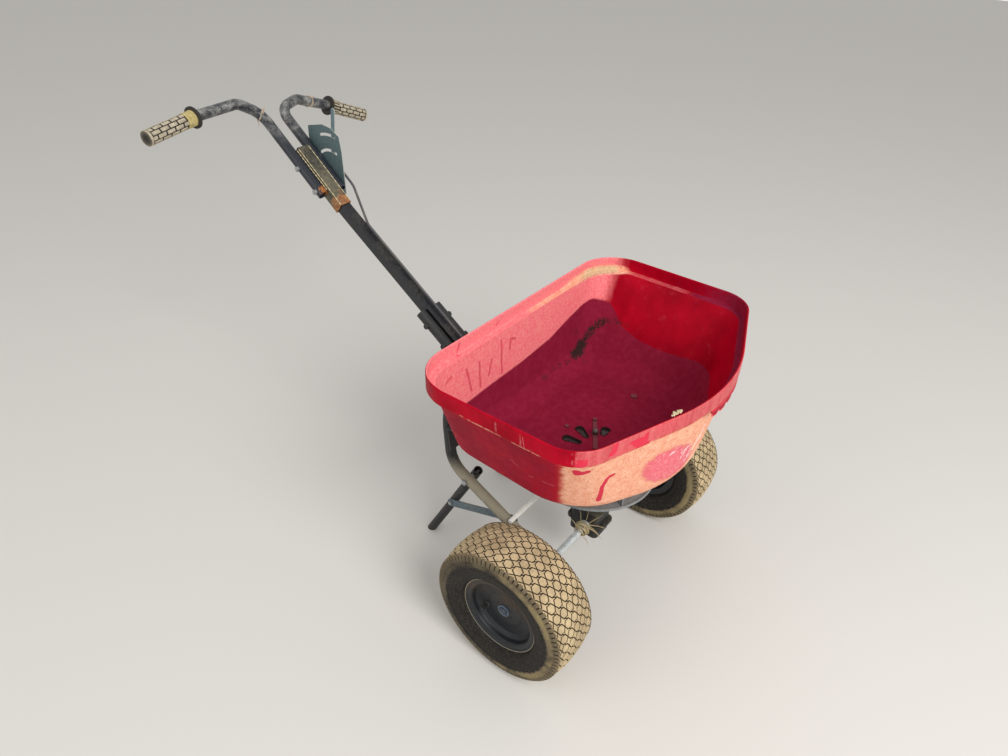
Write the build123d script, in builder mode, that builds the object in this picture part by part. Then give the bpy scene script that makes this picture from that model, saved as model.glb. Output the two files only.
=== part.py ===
"""Walk-behind broadcast fertilizer spreader: an open plastic hopper on a two-wheeled tube frame.

Millimetres. Every size below is measured from the ground point under the middle of the axle, with
forward as -Y and up as +Z. The operator walks behind, at +Y, so the right-hand side is -X. Each
finished piece is moved forward by middle_y, which puts the origin under the middle of the machine.
"""
from build123d import *
from math import atan2, cos, hypot, radians, sin, tan
import os

os.makedirs("parts", exist_ok=True)

RIGHT, LEFT = -1, 1
SIDES = (("right", RIGHT), ("left", LEFT))

middle_y = 423.3        # from the axle back to the middle of the machine's length

# Clearances
seat_gap = 0.3          # between still pieces that lie against each other
running_gap = 0.05      # radial, between a shaft and its bearing
bolt_gap = 0.3          # radial, between a bolt and its hole

# Wheels
tyre_radius = 165.0
half_track = 303.8
section_width = 127.0
tread_width = 115.4
shoulder_radius = 157.3
sidewall_radius = 122.0  # where the tyre is widest
tyre_wall = 7.0
tread_wall = 11.0
rim_flange_radius = 90.5
rim_width = 99.4
rim_sheet = 3.0
bead_seat_radius = 78.0
rim_well_radius = 66.0
rim_well_width = 40.0
bead_width = 17.0
bead_above_flange = 2.0
disc_face = 26.5         # outboard face of the wheel disc, from the wheel's centre plane
plateau_radius = 40.0    # raised middle of the disc
plateau_height = 1.5
plateau_edge = 3.0       # width of the slope round it
hub_radius = 19.0
hub_inner_end = 42.0
hub_outer_end = 30.0
cap_radius = 14.0
cap_length = 4.0
valve_radius = 4.0
valve_length = 28.0
valve_inside = 8.0       # behind the disc
valve_circle = 54.0
valve_turn = -25.0       # from straight back, degrees

# Axle and its bearings
axle_radius = 8.0
axle_height = tyre_radius
bearing_x = 172.0
bearing_length = 32.0
bearing_housing_radius = 15.0
bushing_radius = 11.0
bushing_flange = 2.5
collar_radius = 14.0
collar_length = 11.0
collar_gap = 1.0         # between a collar and the gear case

# Hopper
rim_height = 668.5
lip_depth = 34.5
hopper_wall = 4.0
# half width and y of the back corners, half width and y of the side corners, y of the front,
# then the radii of those three corners
rim_outline = (352.6, 238.4, 348.5, -141.7, -265.3, 96.0, 82.0, 417.0)
ledge_height = rim_height - lip_depth
floor_underside = 414.0
# height of the section, how far the inside lies above the outside, then the same eight columns
body_sections = (
    (ledge_height, hopper_wall, 340.0, 226.0, 336.0, -134.0, -253.0, 86.0, 70.0, 405.0),
    (500.0, 0.0, 277.0, 222.0, 287.0, -104.0, -243.0, 62.0, 120.0, 320.0),
    (453.0, 1.0, 255.0, 219.0, 270.0, -94.0, -236.0, 50.0, 150.0, 285.0),
    (428.0, 3.0, 238.0, 204.0, 250.0, -84.0, -218.0, 44.0, 150.0, 270.0),
    (floor_underside, hopper_wall, 200.0, 170.0, 215.0, -68.0, -182.0, 40.0, 130.0, 230.0),
)
# wide end x, y and radius, then narrow end x, y and radius, from the shaft
drop_holes = (
    (-50.0, 40.0, 9.0, -45.0, 14.0, 5.0),
    (-6.0, 36.0, 8.5, -18.0, 12.0, 4.5),
    (27.0, -10.0, 9.0, 14.0, -13.0, 5.5),
)
floor_bolts = ((-178.0, 20.0), (178.0, 20.0))
floor_bolt_radius = 3.0
floor_bolt_head = 8.0
floor_nut = 5.0
floor_nut_radius = 5.5
floor_bolt_tip = 3.0
floor_bolt_head_height = 3.0
floor_step = 1.2         # the floor is lower inside a ring about the shaft
floor_step_radius = 126.0
drop_rim = 2.6           # width of the raised rim round each drop hole
drop_rim_height = 1.4
# x and height below the lip's lower edge of the torn strip that hangs from it at the front
torn_strip = ((-45.0, 6.0), (-36.0, 19.0), (-22.0, 21.0), (-15.0, 14.0), (-6.0, 23.0), (12.0, 24.0),
              (20.0, 17.0), (29.0, 24.0), (46.0, 22.0), (53.0, 15.0), (61.0, 20.0), (80.0, 19.0),
              (88.0, 11.0), (94.0, 4.0))
torn_sheet = 2.5
floor_rivets = ((-16.0, 80.0), (42.0, 43.0), (-42.0, -11.0))
rivet_head_radius = 5.0

# Spinner and its drive
shaft_radius = 6.0
shaft_y = 16.0
shaft_above_floor = 9.0
shaft_ball_radius = 7.5
shaft_bottom = 192.0
strap_length = 110.0
strap_width = 10.0
strap_sheet = 2.0
strap_turn = 32.7        # from the axle's line, degrees
spinner_radius = 145.0
spinner_height = 327.0
spinner_sheet = 3.0
spinner_hub_radius = 17.0
spinner_hub_height = 30.0
fin_count = 6
fin_height = 22.0
fin_sheet = 2.5
fin_inner_radius = 30.0
fin_end_gap = 4.0        # from a fin's tip to the disc's edge
spinner_lip = 6.0
spinner_lip_sheet = 3.0
case_x = 10.0
case_length = 62.0
case_width = 76.0
case_bottom = 134.0
case_shoulder = 206.0
case_neck_radius = 21.0
case_top = 262.0
case_corner = 12.0
case_ear = 10.0          # the bolted flange beyond the case, front and rear
case_ear_height = 7.0
gate_radius = 74.0
gate_shaft_gap = 2.0
gate_sheet = 3.0
gate_arm_width = 24.0
gate_arm_end = 236.0

# Frame tubes: they lie beside the column, spread behind the hopper and run down to the axle
tube_radius = 12.7
tube_wall = 1.8
frame_slope = 25.9       # of the straight run over the axle, degrees
knee_y = 285.0
shoulder_point = (166.0, 303.0, 448.0)
frame_bends = (70.0, 60.0, 60.0)

# Column, square tube
column_width = 25.4
column_wall = 2.0
column_kink_y = 780.0
column_kink_z = 737.0
column_slope = 34.0
column_bend = 900.0
column_below = 30.0      # of the frame tubes' level run, its lower end
column_bolt_inset = (60.0, 30.0)
handle_slope = 37.8
column_foot_y = 365.0
frame_top_y = 508.0

# Legs and their braces
leg_radius = 11.0
leg_wall = 1.6
leg_foot_y = 385.0
leg_top_y = 235.0
leg_above_bolt = 14.0
leg_below = 40.0         # drawn past the ground, then cut off level with it
brace_sheet = 3.0
brace_width = 20.0
brace_leg_height = 151.0
brace_tube_y = 112.0
brace_end = 12.0
tie_y = 104.0
tie_radius = 5.5
tie_overhang = 12.0

# Hopper rails
rail_x = 170.0
rail_width = 34.0
rail_sheet = 4.0
rail_front_y = 2.0
rail_tab = 62.0

# Handle
sleeve_width = 32.0
sleeve_wall = 2.0
sleeve_start = 4.0       # along the handle from the column's kink
sleeve_end = 184.0
column_inside = 6.0      # from the sleeve's upper end down to the column's
handle_tube_start = 52.0
handle_bend = 309.0
handle_twist = 9.9
handle_bend_radii = (45.0, 40.0, 60.0)
# across, along the handle and square to it, of the bar's points past the bend
bar_points = ((95.0, 330.0, 11.0), (202.0, 322.0, -9.0), (342.0, 291.0, -28.0))
handle_bolt_stations = (66.0, 138.0)
grip_radius = 17.5
grip_wall = 4.5
grip_length = 138.0
grip_flange_radius = 25.0
grip_flange = 5.0
grip_end = 4.0

# Flow control on the left of the handle
plate_sheet = 2.0
# along the handle and square to it
plate_outline = ((32.0, -24.0), (189.0, -20.0), (226.0, 31.0), (191.0, 73.0), (165.0, 89.0),
                 (133.0, 94.0), (107.0, 69.0))
plate_corner = 5.0
lever_pivot = (102.0, -6.0)
# radius about the lever's pivot, start and sweep in degrees from the handle's line
slots = ((96.0, 35.0, 30.0), (58.0, 18.0, 56.0))
slot_width = 7.0
lever_sheet = 2.5
lever_width = 12.0
lever_length = 158.0
lever_angle = 60.0       # from the handle's line
rod_radius = 3.0
rod_x = 8.0
rod_offset = 19.5        # of the rod above the column's centre line
rod_outer_gap = 0.7
rod_spread_end = 40.0     # along the handle, where it starts to come in over the column
rod_spread_y = 720.0
rod_hook_radius = 4.0
rod_bend_y = 318.0
rod_level_y = 268.0
rod_bends = (40.0, 40.0, 25.0, 25.0)
rod_pin_inset = 12.0
rod_pin_above = 4.0

# Bolts
bolt_radius = 4.0
bolt_head_radius = 6.5
bolt_head = 5.0
small_head_radius = 5.0
small_head = 3.5
hexagon_share = 1.08     # a nut's corners against its bolt's head


def save(part, name):
    """Moves one finished piece into the machine's frame, labels it and writes it."""
    placed = part.moved(Location((0, -middle_y, 0)))
    placed.label = name
    export_step(placed, f"parts/{name}.step")


def along_x(x, y, z):
    """A plane at x that looks along +X, with its own x axis along the machine's Y."""
    return Plane(origin=(x, y, z), x_dir=(0, 1, 0), z_dir=(1, 0, 0))


def frame_tube_height(y):
    """Height of a frame tube's centre line over its straight run."""
    return axle_height + y * tan(radians(frame_slope))


def column_height(y):
    """Height of the column's centre line below its kink."""
    return column_kink_z - (column_kink_y - y) * tan(radians(column_slope))


def on_handle(across, along, square):
    """A point given across the handle, along its line from the kink, and square to it."""
    slope = radians(handle_slope)
    return Vector(across,
                  column_kink_y + along * cos(slope) - square * sin(slope),
                  column_kink_z + along * sin(slope) + square * cos(slope))


def twisted(across, along, square):
    """The same, turned about the handle's line by the twist of the bar."""
    turn = radians(handle_twist)
    return on_handle(across * cos(turn) + square * sin(turn), along,
                     -across * sin(turn) + square * cos(turn))


def tube(points, radii, outer, wall):
    """A round tube along a path of straight runs and bends."""
    with BuildPart() as swept:
        with BuildLine():
            path = FilletPolyline(*points, radius=list(radii))
        with BuildSketch(Plane(origin=path @ 0, z_dir=path % 0)):
            Circle(outer)
            Circle(outer - wall, mode=Mode.SUBTRACT)
        sweep()
    return swept.part


def cross_bolt(y, z, x_head, x_nut, radius, head_radius, head, nut=True):
    """A bolt along X: a round head beyond x_head and a nut beyond x_nut."""
    way = 1 if x_nut > x_head else -1
    with BuildPart() as bolt:
        with BuildSketch(along_x(x_head - way * head, y, z)):
            Circle(radius)
        extrude(amount=way * (abs(x_nut - x_head) + 2 * head + radius / 2))
        with BuildSketch(along_x(x_head - way * head, y, z)):
            Circle(head_radius)
        extrude(amount=way * head)
        if nut:
            with BuildSketch(along_x(x_nut, y, z)):
                RegularPolygon(head_radius * hexagon_share, 6)
            extrude(amount=way * head)
    return bolt.part


def cross_hole(y, z, radius):
    """The cylinder that clears a bolt along X, longer than the machine is wide."""
    reach = half_track + section_width
    with BuildPart() as drill:
        with BuildSketch(along_x(-reach, y, z)):
            Circle(radius)
        extrude(amount=2 * reach)
    return drill.part


# Wheels: turf tyre, dished rim with its hub, valve and end cap

def wheel_plane(x):
    """The plane through an axle-wise section of the wheel at x."""
    return Plane(origin=(x, 0, axle_height), x_dir=(1, 0, 0), z_dir=(0, -1, 0))


def wheel_axis(x):
    return Axis((x, 0, axle_height), (1, 0, 0))


def make_tyre(x):
    """A hollow tyre, open at its beads."""
    bead_out = rim_width / 2 - rim_sheet - seat_gap
    bead_low = bead_seat_radius + seat_gap
    bead_top = rim_flange_radius + bead_above_flange
    side = section_width / 2
    tread = tread_width / 2
    inner_tread = tread - tread_wall
    with BuildPart() as tyre:
        with BuildSketch(wheel_plane(x)):
            with BuildLine():
                Line((bead_out, bead_low), (bead_out, bead_top))
                ThreePointArc((bead_out, bead_top), (side, sidewall_radius), (tread, shoulder_radius))
                ThreePointArc((tread, shoulder_radius), (0, tyre_radius), (-tread, shoulder_radius))
                ThreePointArc((-tread, shoulder_radius), (-side, sidewall_radius), (-bead_out, bead_top))
                Line((-bead_out, bead_top), (-bead_out, bead_low))
                Line((-bead_out, bead_low), (-bead_out + bead_width, bead_low))
                Line((-bead_out + bead_width, bead_low), (-bead_out + tyre_wall, bead_top))
                ThreePointArc((-bead_out + tyre_wall, bead_top), (-side + tyre_wall, sidewall_radius),
                              (-inner_tread, shoulder_radius - tread_wall))
                ThreePointArc((-inner_tread, shoulder_radius - tread_wall),
                              (0, tyre_radius - tread_wall), (inner_tread, shoulder_radius - tread_wall))
                ThreePointArc((inner_tread, shoulder_radius - tread_wall),
                              (side - tyre_wall, sidewall_radius), (bead_out - tyre_wall, bead_top))
                Line((bead_out - tyre_wall, bead_top), (bead_out - bead_width, bead_low))
                Line((bead_out - bead_width, bead_low), (bead_out, bead_low))
            make_face()
        revolve(axis=wheel_axis(x))
    return tyre.part


def make_rim(x, side):
    """A rim with its dished disc and hub; side is where the outboard face looks."""
    flange = rim_width / 2
    sheet = rim_sheet
    well = rim_well_width / 2
    seat_end = well + bead_seat_radius - rim_well_radius
    disc_edge = rim_well_radius + disc_face - well - 1.25 * sheet
    with BuildPart() as rim:
        with BuildSketch(wheel_plane(x)):
            with BuildLine():
                Polyline((-flange, rim_flange_radius), (-flange + sheet, rim_flange_radius),
                         (-flange + sheet, bead_seat_radius), (-seat_end, bead_seat_radius),
                         (-well, rim_well_radius), (well, rim_well_radius),
                         (seat_end, bead_seat_radius), (flange - sheet, bead_seat_radius),
                         (flange - sheet, rim_flange_radius), (flange, rim_flange_radius),
                         (flange, bead_seat_radius - sheet), (seat_end + sheet / 2, bead_seat_radius - sheet),
                         (well + sheet / 2, rim_well_radius - sheet),
                         (-well - sheet / 2, rim_well_radius - sheet),
                         (-seat_end - sheet / 2, bead_seat_radius - sheet),
                         (-flange, bead_seat_radius - sheet), close=True)
            make_face()
        revolve(axis=wheel_axis(x))
        with BuildSketch(wheel_plane(x)):
            with BuildLine():
                Polyline((side * (disc_face + plateau_height), 0),
                         (side * (disc_face + plateau_height), plateau_radius),
                         (side * disc_face, plateau_radius + plateau_edge),
                         (side * disc_face, disc_edge), (side * (disc_face - sheet), disc_edge),
                         (side * (disc_face - sheet), 0), close=True)
            make_face()
        revolve(axis=wheel_axis(x))
        with BuildSketch(along_x(x - side * hub_inner_end, 0, axle_height)):
            Circle(hub_radius)
        extrude(amount=side * (hub_inner_end + hub_outer_end))
        add(cross_hole(0, axle_height, axle_radius + running_gap), mode=Mode.SUBTRACT)
        add(cross_hole(valve_y, valve_z, valve_radius + seat_gap), mode=Mode.SUBTRACT)
    return rim.part


valve_y = valve_circle * cos(radians(valve_turn))
valve_z = axle_height + valve_circle * sin(radians(valve_turn))
for name, side in SIDES:
    x = side * half_track
    tyre = make_tyre(x)
    save(tyre, f"tyre_{name}")
    rim = make_rim(x, side)
    save(rim, f"rim_{name}")
    with BuildPart() as valve:
        with BuildSketch(along_x(x + side * (disc_face - rim_sheet - valve_inside), valve_y, valve_z)):
            Circle(valve_radius)
        extrude(amount=side * valve_length)
    save(valve.part, f"valve_{name}")
    with BuildPart() as cap:
        with BuildSketch(along_x(x + side * (hub_outer_end + seat_gap), 0, axle_height)):
            Circle(cap_radius)
            Circle(axle_radius + running_gap, mode=Mode.SUBTRACT)
        extrude(amount=side * cap_length)
    save(cap.part, f"axle_cap_{name}")

# Axle, bright rod from cap to cap

axle_half = half_track + hub_outer_end + cap_length
with BuildPart() as axle:
    with BuildSketch(along_x(-axle_half, 0, axle_height)):
        Circle(axle_radius)
    extrude(amount=2 * axle_half)
    chamfer(axle.edges().filter_by(GeomType.CIRCLE), 1.0)
save(axle.part, "axle")

with BuildPart() as collars:
    for side in (RIGHT, LEFT):
        face = case_x + side * (case_length / 2 + collar_gap)
        with BuildSketch(along_x(face, 0, axle_height)):
            Circle(collar_radius)
            Circle(axle_radius + running_gap, mode=Mode.SUBTRACT)
        extrude(amount=side * collar_length)
save(collars.part, "axle_collars")

# Frame tubes with the bearing housings at their lower ends

knee = (bearing_x, knee_y, frame_tube_height(knee_y))
beside_column = column_width / 2 + tube_radius + seat_gap
brace_tube_z = frame_tube_height(brace_tube_y)
leg_bolt_z = frame_tube_height(leg_top_y)
column_bolts = (column_foot_y + column_bolt_inset[0], frame_top_y - column_bolt_inset[1])
for name, side in SIDES:
    points = [
        (side * bearing_x, 0, axle_height),
        (side * knee[0], knee[1], knee[2]),
        (side * shoulder_point[0], shoulder_point[1], shoulder_point[2]),
        (side * beside_column, column_foot_y, column_height(column_foot_y)),
        (side * beside_column, frame_top_y, column_height(frame_top_y)),
    ]
    bare = tube(points, frame_bends, tube_radius, tube_wall)
    with BuildPart() as frame_tube:
        add(bare)
        with BuildSketch(along_x(side * bearing_x - bearing_length / 2, 0, axle_height)):
            Circle(bearing_housing_radius)
        extrude(amount=bearing_length)
        add(cross_hole(0, axle_height, bushing_radius + running_gap), mode=Mode.SUBTRACT)
        add(cross_hole(leg_top_y, leg_bolt_z, bolt_radius + bolt_gap), mode=Mode.SUBTRACT)
        add(cross_hole(brace_tube_y, brace_tube_z, floor_bolt_radius + bolt_gap), mode=Mode.SUBTRACT)
        for y in column_bolts:
            add(cross_hole(y, column_height(y), bolt_radius + bolt_gap), mode=Mode.SUBTRACT)
    save(frame_tube.part, f"frame_tube_{name}")
    with BuildPart() as bushing:
        end = bearing_length / 2 + seat_gap
        with BuildSketch(along_x(side * bearing_x - end - bushing_flange, 0, axle_height)):
            Circle(bushing_radius)
        extrude(amount=2 * (end + bushing_flange))
        for start in (-end - bushing_flange, end):
            with BuildSketch(along_x(side * bearing_x + start, 0, axle_height)):
                Circle(bearing_housing_radius)
            extrude(amount=bushing_flange)
        add(cross_hole(0, axle_height, axle_radius + running_gap), mode=Mode.SUBTRACT)
    save(bushing.part, f"axle_bushing_{name}")

# Legs, their braces and the tie rod

leg_x = bearing_x - tube_radius - 2 * seat_gap - brace_sheet - seat_gap - leg_radius
leg_lean = atan2(leg_foot_y - leg_top_y, leg_bolt_z)
leg_top = (leg_top_y - leg_above_bolt * sin(leg_lean), leg_bolt_z + leg_above_bolt * cos(leg_lean))
brace_leg_y = leg_foot_y - brace_leg_height * tan(leg_lean)
brace_slope = atan2(brace_tube_z - brace_leg_height, brace_leg_y - brace_tube_y)
brace_length = hypot(brace_tube_z - brace_leg_height, brace_leg_y - brace_tube_y)
for name, side in SIDES:
    foot = (side * leg_x, leg_foot_y + leg_below * sin(leg_lean), -leg_below * cos(leg_lean))
    top = (side * leg_x, leg_top[0], leg_top[1])
    with BuildPart() as leg:
        with BuildLine():
            path = Line(foot, top)
        with BuildSketch(Plane(origin=path @ 0, z_dir=path % 0)):
            Circle(leg_radius)
            Circle(leg_radius - leg_wall, mode=Mode.SUBTRACT)
        sweep()
        split(bisect_by=Plane.XY, keep=Keep.TOP)
        add(cross_hole(leg_top_y, leg_bolt_z, bolt_radius + bolt_gap), mode=Mode.SUBTRACT)
        add(cross_hole(brace_leg_y, brace_leg_height, floor_bolt_radius + bolt_gap), mode=Mode.SUBTRACT)
    save(leg.part, f"leg_{name}")
    outer_face = bearing_x - tube_radius - seat_gap
    inner_face = outer_face - brace_sheet
    middle = ((brace_leg_y + brace_tube_y) / 2, (brace_leg_height + brace_tube_z) / 2)
    with BuildPart() as brace:
        brace_plane = Plane(origin=(side * inner_face, middle[0], middle[1]),
                            x_dir=(0, -cos(brace_slope), sin(brace_slope)), z_dir=(1, 0, 0))
        with BuildSketch(brace_plane):
            SlotCenterToCenter(brace_length, brace_width)
            with Locations((-brace_length / 2, 0), (brace_length / 2, 0)):
                Circle(floor_bolt_radius + bolt_gap, mode=Mode.SUBTRACT)
        extrude(amount=side * brace_sheet)
    save(brace.part, f"leg_brace_{name}")
    leg_bolt = cross_bolt(leg_top_y, leg_bolt_z, side * (bearing_x + tube_radius + seat_gap),
                          side * (leg_x - leg_radius - seat_gap), bolt_radius, bolt_head_radius, bolt_head)
    save(leg_bolt, f"leg_bolt_{name}")
    with BuildPart() as brace_bolts:
        add(cross_bolt(brace_tube_y, brace_tube_z, side * (bearing_x + tube_radius + seat_gap),
                       side * (inner_face - seat_gap), floor_bolt_radius, small_head_radius, small_head))
        add(cross_bolt(brace_leg_y, brace_leg_height, side * (outer_face + seat_gap),
                       side * (leg_x - leg_radius - seat_gap), floor_bolt_radius, small_head_radius, small_head))
    save(brace_bolts.part, f"brace_bolts_{name}")

tie_height = frame_tube_height(tie_y) + (tube_radius + tie_radius + seat_gap) / cos(radians(frame_slope))
with BuildPart() as tie:
    with BuildSketch(along_x(-bearing_x - tie_overhang, tie_y, tie_height)):
        Circle(tie_radius)
    extrude(amount=2 * (bearing_x + tie_overhang))
    chamfer(tie.edges().filter_by(GeomType.CIRCLE), 1.0)
save(tie.part, "tie_rod")

# Column between the frame tubes, and the sleeve that takes the handle

slope = radians(handle_slope)
column_top = sleeve_end - column_inside
column_foot = column_foot_y - column_below
with BuildPart() as column:
    with BuildLine():
        path = FilletPolyline((0, column_foot, column_height(column_foot)), (0, column_kink_y, column_kink_z),
                              tuple(on_handle(0, column_top, 0)), radius=column_bend)
    with BuildSketch(Plane(origin=path @ 0, x_dir=(1, 0, 0), z_dir=path % 0)):
        Rectangle(column_width, column_width)
        Rectangle(column_width - 2 * column_wall, column_width - 2 * column_wall, mode=Mode.SUBTRACT)
    sweep()
    for y in column_bolts:
        add(cross_hole(y, column_height(y), bolt_radius + bolt_gap), mode=Mode.SUBTRACT)
    for station in handle_bolt_stations:
        centre = on_handle(0, station, 0)
        add(cross_hole(centre.Y, centre.Z, bolt_radius + bolt_gap), mode=Mode.SUBTRACT)
save(column.part, "column")

handle_x = sleeve_width / 2 + tube_radius + seat_gap
with BuildPart() as sleeve:
    start = on_handle(0, sleeve_start, 0)
    with BuildSketch(Plane(origin=start, x_dir=(1, 0, 0), z_dir=(0, cos(slope), sin(slope)))):
        Rectangle(sleeve_width, sleeve_width)
        inside = sleeve_width - 2 * sleeve_wall
        Rectangle(inside, inside, mode=Mode.SUBTRACT)
    extrude(amount=sleeve_end - sleeve_start)
    for station in handle_bolt_stations:
        centre = on_handle(0, station, 0)
        add(cross_hole(centre.Y, centre.Z, bolt_radius + bolt_gap), mode=Mode.SUBTRACT)
save(sleeve.part, "handle_sleeve")

with BuildPart() as column_bolt_set:
    for y in column_bolts:
        reach = beside_column + tube_radius + seat_gap
        add(cross_bolt(y, column_height(y), -reach, reach, bolt_radius, bolt_head_radius, bolt_head))
save(column_bolt_set.part, "column_bolts")

# Handle tubes, grips and through bolts

plate_x = handle_x + tube_radius + seat_gap
for name, side in SIDES:
    points = [tuple(on_handle(side * handle_x, handle_tube_start, 0)),
              tuple(on_handle(side * handle_x, handle_bend, 0))]
    points += [tuple(twisted(side * across, along, square)) for across, along, square in bar_points]
    bare = tube(points, handle_bend_radii, tube_radius, tube_wall)
    with BuildPart() as handle_tube:
        add(bare)
        for station in handle_bolt_stations:
            centre = on_handle(0, station, 0)
            add(cross_hole(centre.Y, centre.Z, bolt_radius + bolt_gap), mode=Mode.SUBTRACT)
    save(handle_tube.part, f"handle_tube_{name}")
    tip = Vector(*points[-1])
    inward = (Vector(*points[-2]) - tip).normalized()
    tip_plane = Plane(origin=tip - inward * grip_end, z_dir=inward)
    inner_radius = tube_radius + seat_gap
    with BuildPart() as grip:
        with BuildSketch(tip_plane):
            Circle(grip_radius)
        extrude(amount=grip_length)
        with BuildSketch(tip_plane.offset(grip_length - grip_flange)):
            Circle(grip_flange_radius)
        extrude(amount=grip_flange)
        with BuildSketch(tip_plane.offset(grip_end - seat_gap)):
            Circle(inner_radius)
        extrude(amount=grip_length, mode=Mode.SUBTRACT)
    save(grip.part, f"grip_{name}")

with BuildPart() as handle_bolt_set:
    for station in handle_bolt_stations:
        centre = on_handle(0, station, 0)
        right_end = -(handle_x + tube_radius + seat_gap)
        left_end = plate_x + plate_sheet + seat_gap
        add(cross_bolt(centre.Y, centre.Z, right_end, left_end, bolt_radius, bolt_head_radius, bolt_head))
save(handle_bolt_set.part, "handle_bolts")

# Flow control: plate, lever and the rod down the column to the gate

plate_plane = Plane(origin=on_handle(plate_x, 0, 0), x_dir=(0, cos(slope), sin(slope)), z_dir=(1, 0, 0))
with BuildPart() as plate:
    with BuildSketch(plate_plane):
        with BuildLine():
            FilletPolyline(*plate_outline, radius=plate_corner, close=True)
        make_face()
        for radius, start, turned in slots:
            with BuildLine(mode=Mode.PRIVATE) as slot_middle:
                CenterArc(lever_pivot, radius, start, turned)
            SlotArc(slot_middle.edges()[0], slot_width, mode=Mode.SUBTRACT)
        with Locations(lever_pivot):
            Circle(bolt_radius + bolt_gap, mode=Mode.SUBTRACT)
        with Locations(*[(station, 0) for station in handle_bolt_stations]):
            Circle(bolt_radius + bolt_gap, mode=Mode.SUBTRACT)
    extrude(amount=plate_sheet)
save(plate.part, "flow_plate")

lever_turn = radians(lever_angle)
lever_x = plate_x + plate_sheet + seat_gap
hook_station = lever_pivot[0] + (rod_offset - lever_pivot[1]) / tan(lever_turn)
with BuildPart() as lever:
    with BuildSketch(plate_plane.offset(plate_sheet + seat_gap)):
        with Locations(lever_pivot):
            with Locations((lever_length / 2 * cos(lever_turn), lever_length / 2 * sin(lever_turn))):
                SlotCenterToCenter(lever_length, lever_width, rotation=lever_angle)
            Circle(bolt_radius + bolt_gap, mode=Mode.SUBTRACT)
        with Locations((hook_station, rod_offset)):
            Circle(rod_radius + bolt_gap, mode=Mode.SUBTRACT)
    extrude(amount=lever_sheet)
save(lever.part, "flow_lever")

pivot = on_handle(0, *lever_pivot)
lever_face = lever_x + lever_sheet
with BuildPart() as lever_stud:
    with BuildSketch(along_x(plate_x, pivot.Y, pivot.Z)):
        Circle(bolt_radius)
    extrude(amount=lever_face + seat_gap - plate_x)
    with BuildSketch(along_x(lever_face + seat_gap, pivot.Y, pivot.Z)):
        Circle(bolt_head_radius)
    extrude(amount=bolt_head)
save(lever_stud.part, "lever_bolt")

# Control rod: hooked into the lever, along the column's upper side, then level to the gate's arm

gate_low = floor_underside - seat_gap - gate_sheet
rod_height = gate_low - seat_gap - rod_radius
rod_outer_x = lever_face + rod_outer_gap + rod_radius
rod_square = Vector(0, -sin(radians(column_slope)), cos(radians(column_slope))) * rod_offset
pin_y = gate_arm_end - rod_pin_inset
rod_points = [
    on_handle(lever_x, hook_station, rod_offset),
    on_handle(rod_outer_x, hook_station, rod_offset),
    on_handle(rod_outer_x, rod_spread_end, rod_offset),
    Vector(rod_x, rod_spread_y, column_height(rod_spread_y)) + rod_square,
    Vector(rod_x, rod_bend_y, column_height(rod_bend_y)) + rod_square,
    Vector(rod_x, rod_level_y, rod_height),
    Vector(rod_x, pin_y, rod_height),
    Vector(rod_x, pin_y, floor_underside + rod_pin_above),
]
with BuildPart() as rod:
    with BuildLine():
        path = FilletPolyline(*[tuple(point) for point in rod_points],
                              radius=[rod_hook_radius, *rod_bends, rod_hook_radius])
    with BuildSketch(Plane(origin=path @ 0, z_dir=path % 0)):
        Circle(rod_radius)
    sweep()
save(rod.part, "control_rod")

# Hopper: a plastic tub with a stepped lip, round corners and a bowed front


def hopper_outline(height, columns, inset=0.0):
    """One closed outline of the tub, seen from above."""
    back_x, back_y, side_x, side_y, front_y, back_r, side_r, front_r = columns
    with BuildSketch(Plane.XY.offset(height)) as outline:
        with BuildLine():
            FilletPolyline((back_x, back_y), (-back_x, back_y), (-side_x, side_y), (0, front_y),
                           (side_x, side_y), radius=[back_r, back_r, side_r, front_r, side_r], close=True)
        make_face()
        if inset:
            offset(amount=-inset, mode=Mode.REPLACE)
    return outline.sketch


with BuildPart() as tub:
    for height, rise, *columns in body_sections:
        add(hopper_outline(height, columns))
    loft(ruled=True)
    add(hopper_outline(ledge_height, rim_outline))
    extrude(amount=lip_depth)
with BuildPart() as torn_band:
    add(hopper_outline(ledge_height - lip_depth, rim_outline))
    extrude(amount=lip_depth + seat_gap)
    add(hopper_outline(ledge_height - lip_depth, rim_outline, torn_sheet))
    extrude(amount=lip_depth + seat_gap, mode=Mode.SUBTRACT)
with BuildPart() as cavity:
    for height, rise, *columns in body_sections:
        lift = floor_step if height == floor_underside else 0.0
        add(hopper_outline(height + rise + lift, columns, hopper_wall))
    loft(ruled=True)
    add(hopper_outline(ledge_height + hopper_wall, rim_outline, hopper_wall))
    extrude(amount=lip_depth)


def drop_cylinders(low, high, wider=0.0):
    """A teardrop column at each drop hole, between two heights."""
    with BuildPart() as columns:
        for wide_x, wide_y, wide_r, narrow_x, narrow_y, narrow_r in drop_holes:
            with BuildSketch(Plane.XY.offset(low)):
                with Locations((wide_x, shaft_y + wide_y)):
                    Circle(wide_r + wider)
                with Locations((narrow_x, shaft_y + narrow_y)):
                    Circle(narrow_r + wider)
                make_hull()
            extrude(amount=high - low)
    return columns.part


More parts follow.
